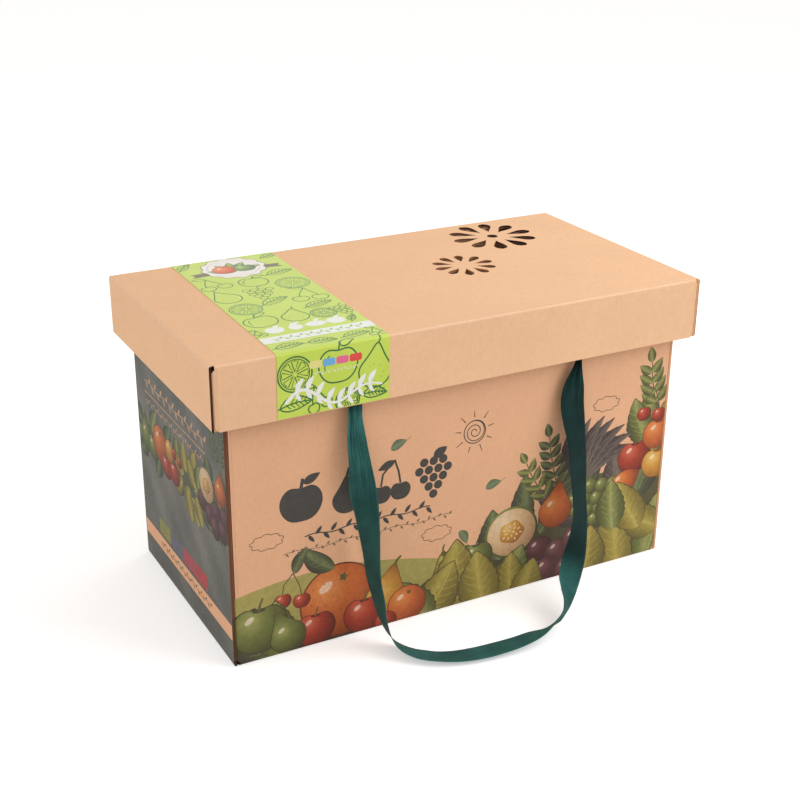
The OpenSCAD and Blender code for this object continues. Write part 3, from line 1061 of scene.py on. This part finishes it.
def sprig(sheet, x, y, length, angle, leaves, size, inks, bend=0.1):
    """A twig with leaves in pairs and one at its end."""
    def on_twig(s):
        return length * s, bend * length * math.sin(math.pi * s * 0.8)

    spine = [on_twig(s) for s in (0, 0.25, 0.5, 0.75, 1)]
    sheet.stroke(spine, x, y, angle, size * 0.09, STALK, size * 0.05)
    for i in range(leaves):
        s = (i + 1) / leaves
        px, py = turned([on_twig(s)], x, y, angle)[0]
        reach = size * (1 - 0.25 * s)
        for side in ((-1, 1) if i < leaves - 1 else (0,)):
            leaf(sheet, px, py, reach, size * 0.42, angle + side * 48, inks, 0.06 * side, 0, 3)


print("ink families:", len((ORANGE, RED, YELLOW, GREEN, PLUM, CREAM, OLIVE, FOREST, SLATE)))

# %% The heap of fruit
def front_sheet():
    """The part of the front that takes ink, in mm: x along, z up, round the folds a little."""
    return [
        (-183.6, 0.4), (183.6, 0.4), (183.6, 3.8), (186.2, 3.8),
        (186.2, 233), (-186.2, 233), (-186.2, 3.8), (-183.6, 3.8),
    ]


front = Print(front_sheet(), tint(222, 172, 134), 0.06)
hill = [(-190, -5), (-20, -5), (-20, 30)]
hill += [(-20 - 17 * i, 36 + 26 * math.sin(math.pi * (0.12 + i * 0.062))) for i in range(11)]
front.area(hill, lambda x, z: mixed(tint(168, 158, 88), tint(140, 136, 72), (40 - z) / 40))

shadow = [
    (-187, -2), (187, -2), (187, 92), (150, 86), (120, 84), (100, 74), (84, 62), (66, 50), (46, 44),
    (30, 36), (0, 34), (-30, 30), (-48, 18), (-100, 16), (-136, 24), (-160, 38), (-187, 34),
]
front.area(shadow, lambda x, z: mixed(tint(76, 82, 54), tint(44, 46, 36), (64 - z) / 60))
for x, z, length, width, angle, inks in (
    (150, 42, 64, 24, 100, SLATE), (140, 38, 66, 24, 128, SLATE), (158, 50, 72, 24, 72, FOREST),
    (128, 44, 74, 24, 148, SLATE), (178, 92, 56, 26, 100, GREEN), (172, 92, 56, 26, 66, OLIVE),
    (172, 100, 46, 22, 112, GREEN), (70, 44, 66, 22, 66, FOREST), (58, 40, 60, 20, 92, FOREST),
    (84, 52, 62, 20, 48, FOREST), (34, 30, 46, 24, 100, FOREST), (18, 22, 40, 24, 128, GREEN),
):
    leaf(front, x, z, length, width, angle, inks, 0.07 if angle > 90 else -0.07, 9, 6)
FAN = ((22, 54), (104, 44), (34, 56), (92, 48), (46, 56), (80, 51), (58, 54), (69, 53))
for angle, length in FAN:
    root_x, root_z = 107 if angle < 70 else 104, 82 if angle < 50 else 84
    leaf(front, root_x, root_z, length, 12, angle, SLATE, 0.13, 9, 5)
sprig(front, 88, 74, 54, 102, 6, 16, FOREST, 0.05)
sprig(front, 80, 70, 46, 120, 5, 15, GREEN, 0.08)
sprig(front, 178, 128, 44, 100, 5, 18, GREEN, 0.06)

grapes(front, 122, 74, 6.4, (4, 5, 4, 3), GREEN)
pear(front, 84, 62, 15, ORANGE, -8)
apple(front, 158, 92, 15, RED)
apple(front, 180, 108, 14, ORANGE)
apple(front, 181, 82, 14, YELLOW)
fruit(front, lemon_outline(13), 148, 70, 13, ORANGE, 30)
cherries(front, 172, 128, 6.5, RED)
melon_half(front, 44, 52, 24)
apple(front, 12, 38, 14, GREEN)
pear(front, -12, 30, 13, GREEN, 14)
for i, (x, z) in enumerate(((70, 30), (88, 24), (104, 32), (78, 10), (98, 6), (60, 14), (114, 14))):
    fruit(front, lobed(12.5, 11, steps=32), x, z, 12.5, PLUM, 20 + 12 * i)
for x, z, length, width, angle, inks in (
    (196, -6, 70, 40, 134, OLIVE), (150, -10, 66, 38, 96, OLIVE), (176, -10, 64, 38, 82, GREEN),
    (128, -8, 56, 32, 116, OLIVE), (190, 22, 48, 28, 150, OLIVE), (8, -8, 62, 36, 116, OLIVE),
    (-12, -8, 66, 38, 84, OLIVE), (30, -8, 52, 32, 62, GREEN), (-36, -6, 54, 32, 58, OLIVE),
    (-26, -8, 52, 30, 126, GREEN), (46, -10, 44, 26, 92, OLIVE), (112, -12, 52, 32, 82, OLIVE),
    (22, -10, 54, 34, 100, OLIVE), (52, -14, 40, 26, 70, OLIVE), (168, 26, 52, 30, 118, OLIVE),
    (142, 30, 46, 26, 96, GREEN),
):
    leaf(front, x, z, length, width, angle, inks, 0.05 if angle > 90 else -0.05, 8, 6)

orange(front, -104, 33, 31, ORANGE)
leaf(front, -108, 60, 34, 15, 138, FOREST, 0.08, 0, 5)
pear(front, -66, 24, 17, YELLOW, -16)
orange(front, -48, 14, 16, ORANGE)
apple(front, -84, 15, 16, RED)
apple(front, -124, 14, 15, RED)
cherries(front, -142, 44, 6.5, RED)
leaf(front, -140, 64, 22, 9, 60, FOREST, 0.08, 0, 4)
for x, z, length, width, angle, inks in (
    (-150, -6, 58, 34, 128, FOREST), (-196, 30, 50, 28, -12, FOREST), (-150, -4, 50, 30, 96, GREEN),
):
    leaf(front, x, z, length, width, angle, inks, 0.06, 9, 6)
apple(front, -168, 26, 21, GREEN)
pear(front, -146, 14, 14, GREEN, 22)
fruit(front, lobed(9, 8), -66, 4, 9, RED)
print("shapes on the front:", len(front.areas))

# %% Dark shapes, a twig, a sun, clouds and loose leaves
def dark_row(sheet, x, z, step, size, ink):
    """Four plain fruit shapes in one dark ink."""
    sheet.shape(apple_outline(size), x, z, 0, ink)
    sheet.line([(x, z + size * 0.7), (x + size * 0.1, z + size * 1.2)], size * 0.16, ink)
    sheet.shape(leaf_outline(size * 0.9, size * 0.42), x + size * 0.12, z + size * 0.95, 24, ink)
    sheet.shape(pear_outline(size * 0.72), x + step, z - size * 0.28, 0, ink)
    sheet.line([(x + step, z + size * 0.8), (x + step + size * 0.14, z + size * 1.25)], size * 0.14, ink)
    joint_x = x + 2 * step + size * 0.2
    for side in (-1, 1):
        cx = x + 2 * step + side * size * 0.5
        sheet.shape(apple_outline(size * 0.5), cx, z - size * 0.5, 0, ink)
        stem = [(cx, z - size * 0.1), (cx - side * size * 0.1, z + size * 0.5), (joint_x, z + size * 1.1)]
        sheet.line(stem, size * 0.1, ink)
    sheet.shape(leaf_outline(size * 0.9, size * 0.4), joint_x, z + size * 1.05, -160, ink)
    for row, count in enumerate((3, 4, 3, 2, 1)):
        for i in range(count):
            spot = (x + 3 * step + (i - (count - 1) / 2) * size * 0.5, z + size * 0.62 - row * size * 0.42)
            sheet.shape(lobed(size * 0.22, size * 0.22, steps=16), *spot, 0, ink)
    sheet.shape(leaf_outline(size * 0.8, size * 0.5), x + 3 * step, z + size * 0.8, 30, ink)


def twig(sheet, x, z, length, leaves, size, ink):
    """A level twig with small leaves to both sides."""
    stem = [(x + length * i / 24, z + 1.1 * math.sin(i * 0.9)) for i in range(25)]
    sheet.line(stem, size * 0.12, ink)
    for i in range(leaves):
        px = x + length * (i + 0.5) / leaves
        sheet.shape(leaf_outline(size, size * 0.4), px, z, 52 if i % 2 else -52, ink)


def cloud(sheet, x, z, wide, high, ink):
    """The outline of a cloud as one line with soft bumps."""
    points = []
    for i in range(73):
        a = 2 * math.pi * i / 72
        bump = 0.86 + 0.2 * abs(math.sin(4.5 * a + 0.6))
        points.append((x + wide / 2 * bump * math.cos(a), z + high / 2 * bump * math.sin(a)))
    sheet.line(points, 0.55, ink)


dark_row(front, -133, 119, 35.5, 16, DARK_INK)
twig(front, -131, 92, 102, 17, 7.5, DARK_INK)
twig(front, -148, 81.5, 138, 30, 3.4, FINE_INK)

sun_x, sun_z = 8, 145
spiral = [arc(sun_x, sun_z, 1.2 + 7.8 * i / 60, i * 13.5, i * 13.5, 1)[0] for i in range(61)]
front.line(spiral, 0.7, DARK_INK)
front.line(arc(sun_x, sun_z, 9.2, 20, 380, 40), 0.8, DARK_INK)
for i in range(9):
    a = math.radians(12 + i * 40)
    ray = [(sun_x + r * math.cos(a), sun_z + r * math.sin(a)) for r in (12, 14.5, 17 + i % 2 * 1.5)]
    front.line(ray, 0.9, DARK_INK, 0.4)
for x, z, wide in ((-160, 95, 25), (-23, 68, 25), (127, 144, 24)):
    cloud(front, x, z, wide, 12, FINE_INK)
LOOSE = (tint(128, 140, 104), tint(100, 122, 92), tint(80, 104, 80))
for x, z, angle, length in ((-62, 145, 22, 14), (19, 95.5, 14, 14), (-3, 65, -62, 14)):
    leaf(front, x, z, length, 7, angle, LOOSE, 0.08, 0, 2)
    front.stroke([(length, 0), (length * 1.3, length * 0.08)], x, z, angle, 0.4, LOOSE[1])
print("shapes on the front:", len(front.areas))

# %% [markdown]
# The front skin is laid on the wall 0.06 mm off the board. Past the flat part it follows the
# round fold at each side and at the floor, so that the print runs out over the folds.

# %% Lay the front print on both long walls
INK_STAND = 0.06
FOLD = 2.0
WALL_FACE, WALL_FLAT, END_FACE = 96, 183.7, 188


def round_fold(distance, flat_end, face):
    """Place along and across the fold, for a distance that passes the end of the flat part."""
    if distance <= flat_end:
        return distance, face + INK_STAND
    angle = min((distance - flat_end) / FOLD, math.pi / 2)
    radius = FOLD + INK_STAND
    return flat_end + radius * math.sin(angle), face - FOLD + radius * math.cos(angle)


def on_long_wall(x, z):
    along, from_side = round_fold(abs(x), WALL_FLAT, WALL_FACE)
    depth, from_floor = round_fold(-z, -FOLD, WALL_FACE)
    return math.copysign(along, x), -min(from_side, from_floor), -depth


FOOT_ROWS = (0.8, 1.2, 1.6, 2.0)


def fold_rows(low_x, high_x, low_z, high_z):
    """Lines that the triangles follow round the folds."""
    rows = [((low_x, z), (high_x, z)) for z in FOOT_ROWS]
    for x in (WALL_FLAT, 184.2, 184.7, 185.2, 185.7):
        rows += [((side * x, low_z), (side * x, high_z)) for side in (-1, 1)]
    return rows


def printed(name, colour_noise, gloss_level, roughness):
    """Ink: the skin's own colours, thin enough for the paper's fibres to show."""
    finish = Finish(name)
    place = finish.place()
    ink = finish.add("ShaderNodeAttribute", {"attribute_name": "ink"}, output="Color")
    fibres = finish.noise(finish.scaled(place, (2600, 700, 700), (0.3, 0.2, 0.6)), 1, 2)
    tone = fibres.stretch(0.3, 0.7, 1 - colour_noise, 1 + colour_noise)
    tone = tone * finish.noise(place, 220, 4).stretch(0.3, 0.7, 1 - colour_noise, 1 + colour_noise)
    colour = finish.blend(1.0, ink, finish.grey(tone), "MULTIPLY")
    return finish.surface(
        Base_Color=colour, Roughness=roughness, Specular_IOR_Level=gloss_level,
        Normal=finish.relief(fibres, 0.00008, 0.3),
    )


def about_face(piece, name):
    """A copy of a piece for the opposite side, turned half round in its mesh."""
    mesh = piece.data.copy()
    mesh.transform(Matrix.Rotation(math.pi, 4, "Z"))
    copy = bpy.data.objects.new(name, mesh)
    bpy.context.scene.collection.objects.link(copy)
    return copy


board_ink = printed("board_ink", 0.09, 0.3, 0.6)
front_print = front.skin("front_print", on_long_wall, fold_rows(-187, 187, 0, 234), 3.2)
back_print = about_face(front_print, "back_print")
for skin in (front_print, back_print):
    wear(skin, board_ink)
    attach(skin, "base")

# %% [markdown]
# ## The end print
# Both ends are printed almost all over in a dark grey green, with a band of fruit and leaves
# in it, four plain colour chips, and one stripe where the kraft is left bare. A sheet seen
# from its end runs from back to front, so its first measure is the distance to the front.

# %% The end's fields and fruit
def field_ink_and_shade(x, z):
    """The dark printed field, a little cloudy, palest at mid height and darker toward the foot. Toward the
    top the darkening is painted shade under the lid.
    """
    cloud = 0.5 + 0.26 * math.sin(x * 0.07 + 2) * math.cos(z * 0.05) + 0.16 * math.sin((x + z) * 0.13)
    # Darker toward the top: painted shade under the lid.
    return mixed(tint(98, 99, 94), tint(142, 138, 131), cloud - abs(z - 105) / 190)


KRAFT_INK = tint(214, 168, 132)
end = Print([(-95, 0.4), (95, 0.4), (95, 233.5), (-95, 233.5)], tint(112, 108, 100), 0.28)
end.area([(-96, 0), (96, 0), (96, 21), (-96, 21)], field_ink_and_shade)
end.area([(-96, 33.5), (96, 33.5), (96, 235), (-96, 235)], field_ink_and_shade)
end.area([(-74, 152.4), (60, 152.4), (60, 153.3), (-74, 153.3)], KRAFT_INK)
twig(end, -73, 162, 132, 20, 7, KRAFT_INK)
twig(end, -73, 145.5, 132, 26, 4, KRAFT_INK)
twig(end, -58, 27, 112, 22, 4.2, tint(92, 84, 74))
under_fruit = [
    (-95, 128), (-80, 104), (-50, 99), (-20, 99), (10, 100), (40, 96), (66, 96), (95, 98),
    (95, 140), (70, 136), (46, 126), (20, 126), (-4, 122), (-40, 124), (-70, 126),
]
end.area(under_fruit, tint(84, 86, 64))
for x, z, angle, inks in (
    (-84, 122, 140, FOREST), (-76, 110, 220, FOREST), (-62, 122, 60, GREEN), (-48, 108, 250, FOREST),
    (-30, 122, 60, FOREST), (-2, 120, 96, GREEN), (8, 116, 150, OLIVE), (14, 120, 100, OLIVE),
    (22, 118, 60, OLIVE), (30, 112, 20, GREEN), (18, 110, 250, OLIVE), (4, 112, 225, GREEN),
    (4, 108, 200, OLIVE), (30, 122, 80, OLIVE), (24, 104, 300, OLIVE), (38, 104, 10, OLIVE),
    (34, 116, 130, OLIVE), (32, 108, -60, OLIVE), (40, 114, 84, GREEN), (46, 108, -40, FOREST),
    (66, 132, 110, FOREST),
    (80, 122, 60, GREEN), (90, 128, 100, FOREST), (78, 112, -70, FOREST), (14, 104, 290, OLIVE),
):
    leaf(end, x, z, 23, 17, angle, inks, 0.06, 7, 4)
pear(end, -77, 113, 12.5, GREEN)
apple(end, -61, 109, 11.5, GREEN)
orange(end, -44, 119, 15.5, ORANGE)
apple(end, -31, 105, 10.5, RED)
apple(end, -13, 107, 10.5, RED)
orange(end, -22, 122, 9.5, YELLOW)
cherries(end, -6, 124, 5, RED)
for i, (x, z) in enumerate(((46, 112), (60, 106), (74, 114), (90, 116), (85, 104), (70, 100))):
    fruit(end, lobed(9, 8, steps=24), x, z, 9, PLUM, 30 * i, False)
melon_half(end, 56, 128, 15)
pear(end, 83, 134, 10, ORANGE, -10)
sprig(end, 80, 150, 32, 100, 5, 10, FOREST)
sprig(end, 87, 150, 34, 78, 5, 10, FOREST)
END_CHIPS = (tint(156, 150, 74), tint(104, 108, 124), tint(190, 72, 86), tint(196, 66, 70))
for i, chip in enumerate(END_CHIPS):
    x = -58.5 + 26.8 * i
    end.area([(x, 36.5), (x + 25.6, 36.5), (x + 25.6, 49.5), (x, 49.5)], chip)
print("shapes on an end:", len(end.areas))

# %% Lay the end print on both ends
def on_end_wall(forward, z):
    depth, out = round_fold(-z, -FOLD, END_FACE)
    return -out, -forward, -depth


left_print = end.skin("left_print", on_end_wall, [((-95, z), (95, z)) for z in FOOT_ROWS], 4)
right_print = about_face(left_print, "right_print")
for skin in (left_print, right_print):
    wear(skin, board_ink)
    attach(skin, "base")

# %% [markdown]
# ## The paper band
# The band is gloss paper printed in a fresh green, with fruit in thin dark green outline, a
# white stripe, white fruit and a white twig, a small pale seal and four colour chips. Its print
# is drawn flat, from the back edge of the lid over the top and down the front, and then laid
# over the band and its folds.
# The band lies a little askew, and the sheet is sheared by the same amount.

# %% Outline fruit for the band
BAND_MIDDLE, BAND_HALF, BAND_SKEW = -109.5, 41.8, math.tan(math.radians(0.8))
BAND_TOP = 105.0
SIDE_START = BAND_TOP + FOLD * math.pi / 2
BAND_END = SIDE_START + 44.1
LEAF_LINE = tint(74, 124, 58)
PALE_LINE = tint(106, 150, 80)
FLANGE_LINE = tint(60, 114, 54)


def closed(points):
    return [*points, points[0], points[1]]


def outline_apple(sheet, x, y, r, angle, ink):
    sheet.stroke(closed(apple_outline(r)), x, y, angle, 0.85, ink)
    sheet.stroke([(0, r * 0.72), (r * 0.05, r), (r * 0.2, r * 1.3)], x, y, angle, 0.8, ink)
    root = turned([(r * 0.12, r)], x, y, angle)[0]
    sheet.stroke(closed(leaf_outline(r * 0.9, r * 0.4, 0.05)), *root, angle + 20, 0.65, ink)
    sheet.stroke(arc(0, 0, r * 0.72, 130, 200, 8), x, y, angle, 0.6, ink)


def outline_pear(sheet, x, y, r, angle, ink):
    sheet.stroke(closed(pear_outline(r)), x, y, angle, 0.85, ink)
    sheet.stroke([(0, r * 1.6), (r * 0.1, r * 1.8), (r * 0.1, r * 2.1)], x, y, angle, 0.8, ink)
    for i in range(7):
        a = i * 2.4
        spot = turned([(r * 0.5 * math.cos(a), -r * 0.1 + r * 0.5 * math.sin(a))], x, y, angle)[0]
        sheet.shape(lobed(0.35, 0.35, steps=6), *spot, 0, ink)


def outline_citrus(sheet, x, y, r, angle, ink):
    sheet.line(closed(turned(lobed(r, r, steps=32), x, y, 0)), 0.85, ink)
    sheet.line(closed(turned(lobed(r * 0.86, r * 0.86, steps=28), x, y, 0)), 0.55, ink)
    for i in range(8):
        wedge = [(r * 0.14, 0), (r * 0.74, r * 0.2), (r * 0.78, 0), (r * 0.74, -r * 0.2)]
        sheet.line(closed(turned(wedge, x, y, angle + 45 * i)), 0.55, ink)


def outline_grapes(sheet, x, y, r, angle, ink):
    for row, count in enumerate((4, 3, 3, 2, 1)):
        for i in range(count):
            spot = turned([((i - (count - 1) / 2) * r * 0.52, r * 0.7 - row * r * 0.42)], x, y, angle)[0]
            sheet.line(closed(turned(lobed(r * 0.26, r * 0.26, steps=14), *spot, 0)), 0.6, ink)
    sheet.stroke([(0, r), (r * 0.1, r * 1.3), (r * 0.4, r * 1.5)], x, y, angle, 0.8, ink)


def outline_leaf(sheet, x, y, r, angle, ink):
    length = r * 2.6
    sheet.stroke(closed(leaf_outline(length, r * 1.1, 0.06, 9, 27)), x, y, angle, 0.75, ink)
    shares = (-0.15, 0.1, 0.35, 0.6, 0.85, 0.98)
    rib = [(length * s, 0.06 * length * math.sin(math.pi * s)) for s in shares]
    sheet.stroke(rib, x, y, angle, 0.75, ink)
    for i in range(5):
        s = 0.2 + 0.14 * i
        for side in (-1, 1):
            tip = (length * (s + 0.12), 0.05 * length + side * r * 0.36)
            sheet.stroke([(length * s, 0.05 * length), tip], x, y, angle, 0.55, ink)


def outline_cherries(sheet, x, y, r, angle, ink):
    for side in (-1, 1):
        cx = side * r * 0.62
        cherry = [(cx + px, py - r * 0.6) for px, py in apple_outline(r * 0.5)]
        sheet.stroke(closed(cherry), x, y, angle, 0.75, ink)
        sheet.stroke([(cx, -r * 0.2), (cx * 0.6, r * 0.5), (r * 0.1, r * 1.3)], x, y, angle, 0.75, ink)
    root = turned([(r * 0.1, r * 1.3)], x, y, angle)[0]
    sheet.stroke(closed(leaf_outline(r, r * 0.4)), *root, angle + 160, 0.6, ink)


print("the band's sheet reaches", round(BAND_END, 1), "mm each way")

# %% Draw the band's print
half = BAND_HALF
band = Print([(-half, -BAND_END), (half, -BAND_END), (half, BAND_END), (-half, BAND_END)])
APPLE, PEAR, CITRUS, GRAPES, LEAF, CHERRIES = (
    outline_apple, outline_pear, outline_citrus, outline_grapes, outline_leaf, outline_cherries
)
MOTIFS = (
    (CITRUS, -28, 128, 12, 0), (APPLE, 2, 127, 13, 0), (PEAR, 31, 118, 11, 10),
    (LEAF, -14, 142, 9, 20), (GRAPES, -33, 146, 9, 0), (LEAF, -40, 90, 7, 50),
    (LEAF, 29, 94, 7, 20), (CHERRIES, -29, 47, 11, 8), (APPLE, 1, 40, 11, -10),
    (LEAF, 17, 52, 9, 12), (PEAR, -30, 13, 10.5, 14), (GRAPES, -4, 14, 11.5, -8),
    (CITRUS, 27, 26, 13, 0), (CITRUS, -27, -15, 12, 0), (LEAF, -12, -12, 9.5, 24),
    (CHERRIES, 26, -5, 12, -6), (APPLE, -27, -44, 12, 8), (PEAR, -1, -44, 10, -12),
    (LEAF, 14, -30, 9, 15), (CITRUS, 20, -46, 9.5, 0), (GRAPES, 36, -46, 9, 0),
    (LEAF, 31, -70, 5, 60), (CHERRIES, -38, -66, 5, 0), (LEAF, -38, -97, 8, 4),
    (LEAF, -14, -96, 8, -6), (LEAF, 12, -97, 8, 6), (CHERRIES, 37, -97, 6, 0),
    (CITRUS, -29, -122, 12.5, 0), (APPLE, 3, -121, 14, 0), (PEAR, 31, -130, 12.5, -6),
    (LEAF, -40, -145, 9, 6), (CHERRIES, -12, -143, 8, 20), (CITRUS, 10, -148, 9, 0),
    (LEAF, 22, -146, 7, -4),
)
for motif, x, y, r, angle in MOTIFS:
    on_flange = y < -100
    band.pen = 1.35 if on_flange else 1.1
    line_ink = FLANGE_LINE if on_flange else PALE_LINE if motif is CITRUS else LEAF_LINE
    motif(band, x, y, r, angle, line_ink)
band.pen = 1.0

WHITE_INK = tint(243, 244, 238)
band.area([(-half - 1, -86.5), (half + 1, -86.5), (half + 1, -75.2), (-half - 1, -75.2)], WHITE_INK)
twig(band, -34, -80.8, 68, 18, 4.4, tint(150, 196, 96))
for i, x in enumerate((-25, -9.5, 6, 21.5)):
    shape = (apple_outline(6.6), pear_outline(5.2), lemon_outline(6.4), apple_outline(6.6))[i]
    band.shape(shape, x, -64, 0, WHITE_INK)
    band.shape(leaf_outline(6.4, 3), x + 0.4, -58.4, 30, WHITE_INK)

PEEL = (tint(250, 166, 96), tint(238, 112, 48), tint(190, 72, 30))
FRESH = (tint(186, 206, 112), tint(122, 156, 66), tint(76, 104, 48))
seal_x, seal_y = 0, 80
for side in (-1, 1):
    tail = [(x * side, y) for x, y in ((20, 70), (37, 68), (34, 72), (37, 76), (20, 78))]
    band.area(tail, tint(112, 104, 66))
band.shape(lobed(25.5, 25, 12, 0.045, 96), seal_x, seal_y, 0, tint(150, 138, 118))
band.shape(lobed(24.6, 24.1, 12, 0.045, 96), seal_x, seal_y, 0, tint(246, 240, 232))
band.line(closed(turned(lobed(20.5, 20, steps=64), seal_x, seal_y, 0)), 0.5, tint(206, 190, 170))
for angle in (60, 120, 90, 20, 160):
    leaf(band, seal_x, seal_y - 9, 23, 9, angle, FRESH, 0.05, 0, 4)
orange(band, seal_x - 8, seal_y - 2, 9.4, PEEL)
apple(band, seal_x + 8, seal_y - 4, 8, FRESH)

BAND_CHIPS = (tint(236, 224, 140), tint(110, 176, 226), tint(236, 104, 150), tint(228, 72, 62))
for i, chip in enumerate(BAND_CHIPS):
    x = -18.5 + 10 * i
    corners = ((1, 0), (8.2, 0), (9.2, 1), (9.2, 4.4), (8.2, 5.4), (1, 5.4), (0, 4.4), (0, 1))
    band.area([(x + a, b - 120.2) for a, b in corners], chip)
twig(band, -15, -124.2, 33, 14, 1.6, WHITE_INK)
sweep = [(-36 + 2.6 * i, -142 + 9 * math.sin(0.32 * i) * (1 - i / 40)) for i in range(29)]
band.line(sweep, 2.6, WHITE_INK, 1.2)
for i in range(3, 27, 3):
    x, y = sweep[i]
    for side, size in ((1, 11), (-1, 8)):
        band.shape(leaf_outline(size, size * 0.36, 0.08 * side), x, y, 60 * side, WHITE_INK)
print("shapes on the band:", len(band.areas))

# %% Lay the print over the band
LID_SIDE, LID_TOP = 107, 238
PAPER_STAND = 0.35


def over_lid(x, along):
    """Along is the distance from the lid's middle to the back, measured over the paper."""
    reach, side = abs(along), math.copysign(1, along)
    skewed = BAND_MIDDLE + x + along * BAND_SKEW
    stand = 0.03
    if reach <= BAND_TOP:
        return skewed, along, LID_TOP + PAPER_STAND + stand
    if reach >= SIDE_START:
        return skewed, side * (LID_SIDE + PAPER_STAND + stand), LID_TOP - FOLD - (reach - SIDE_START)
    angle, radius = (reach - BAND_TOP) / FOLD, FOLD + PAPER_STAND + stand
    middle = BAND_MIDDLE + x + side * (BAND_TOP + SIDE_START) / 2 * BAND_SKEW
    return middle, side * (BAND_TOP + radius * math.sin(angle)), LID_TOP - FOLD + radius * math.cos(angle)


fold_steps = [BAND_TOP + (SIDE_START - BAND_TOP) * i / 8 for i in range(9)]
band_creases = [((-half, side * s), (half, side * s)) for s in fold_steps for side in (-1, 1)]
band_print = band.skin("band_print", over_lid, band_creases)
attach(band_print, "lid")
wear(band_print, printed("band_ink", 0.02, 0.5, 0.28))


def gloss_paper():
    finish = Finish("gloss_paper")
    place = finish.place()
    cloud = finish.noise(place, 30, 3)
    green = finish.blend(cloud.stretch(0.3, 0.7), tint(200, 221, 80), tint(207, 228, 92))
    return finish.surface(
        Base_Color=green, Roughness=0.28, Specular_IOR_Level=0.5,
        Normal=finish.relief(finish.noise(place, 120, 3), 0.0002, 0.25),
    )


wear(solids["label_band"], gloss_paper())
print("band wears", solids["label_band"].data.materials[0].name)

# %% [markdown]
# ## Floor and light
# The box stands on a plain pale floor. Soft light comes from all round. A large lamp at the
# front right makes that side a little brighter, a small one above lights the lid, and a third
# one at the left lights the end.
# Seen by the camera, the floor and the room are white, but the floor still takes the shadow.
# The light is as strong as it has to be for a colour to look as it is written, and no stronger.

# %% The floor
def plain_floor():
    finish = Finish("floor")
    seen = finish.add("ShaderNodeLightPath", output="Is Camera Ray")
    tone = finish.blend(seen, (0.8, 0.8, 0.8, 1), (1, 1, 1, 1))
    glow = finish.blend(seen, (0, 0, 0, 1), (1, 1, 1, 1))
    return finish.surface(
        Base_Color=tone, Roughness=1.0, Specular_IOR_Level=0.0,
        Emission_Color=glow, Emission_Strength=0.4,
    )


floor_mesh = bpy.data.meshes.new("floor")
reach = 6.0
corners = [(-reach, -reach, 0), (reach, -reach, 0), (reach, reach, 0), (-reach, reach, 0)]
floor_mesh.from_pydata(corners, [], [(0, 1, 2, 3)])
floor = bpy.data.objects.new("floor", floor_mesh)
bpy.context.scene.collection.objects.link(floor)
wear(floor, plain_floor())
print("floor reaches", reach, "m each way")

# %% The light
ROOM_LIGHT, ROOM_TONE = 0.6, (1, 0.975, 0.95)
world = bpy.data.worlds.new("room")
bpy.context.scene.world = world
world.use_nodes = True
nodes, links = world.node_tree.nodes, world.node_tree.links
paths, mix, room = nodes.new("ShaderNodeLightPath"), nodes.new("ShaderNodeMix"), nodes["Background"]
mix.data_type = "RGBA"
seen = nodes.new("ShaderNodeMath")
seen.operation = "MAXIMUM"
links.new(paths.outputs["Is Camera Ray"], seen.inputs[0])
links.new(paths.outputs["Is Glossy Ray"], seen.inputs[1])
given = {socket.identifier: socket for socket in mix.inputs}
result = {socket.identifier: socket for socket in mix.outputs}
links.new(seen.outputs[0], given["Factor_Float"])
given["A_Color"].default_value = [ROOM_LIGHT * share for share in ROOM_TONE] + [1]
given["B_Color"].default_value = (1, 1, 1, 1)
links.new(result["Result_Color"], room.inputs["Color"])


def soft_lamp(name, place, target, size, power):
    lamp = bpy.data.lights.new(name, "AREA")
    lamp.shape, lamp.size, lamp.energy = "SQUARE", size, power
    holder = bpy.data.objects.new(name, lamp)
    bpy.context.scene.collection.objects.link(holder)
    holder.location = place
    holder.rotation_mode = "QUATERNION"
    holder.rotation_quaternion = (Vector(target) - Vector(place)).to_track_quat("-Z", "Y")


soft_lamp("front right lamp", (0.9, -0.72, 0.95), (0.1, 0, 0.15), 1.1, 9.6)
soft_lamp("top lamp", (0.62, 0.25, 0.95), (0.15, 0.05, 0.2), 0.9, 1.5)
soft_lamp("left lamp", (-1.6, 0.1, 0.35), (-0.2, 0, 0.15), 1.0, 5.5)
bpy.context.scene.view_settings.view_transform = "Standard"
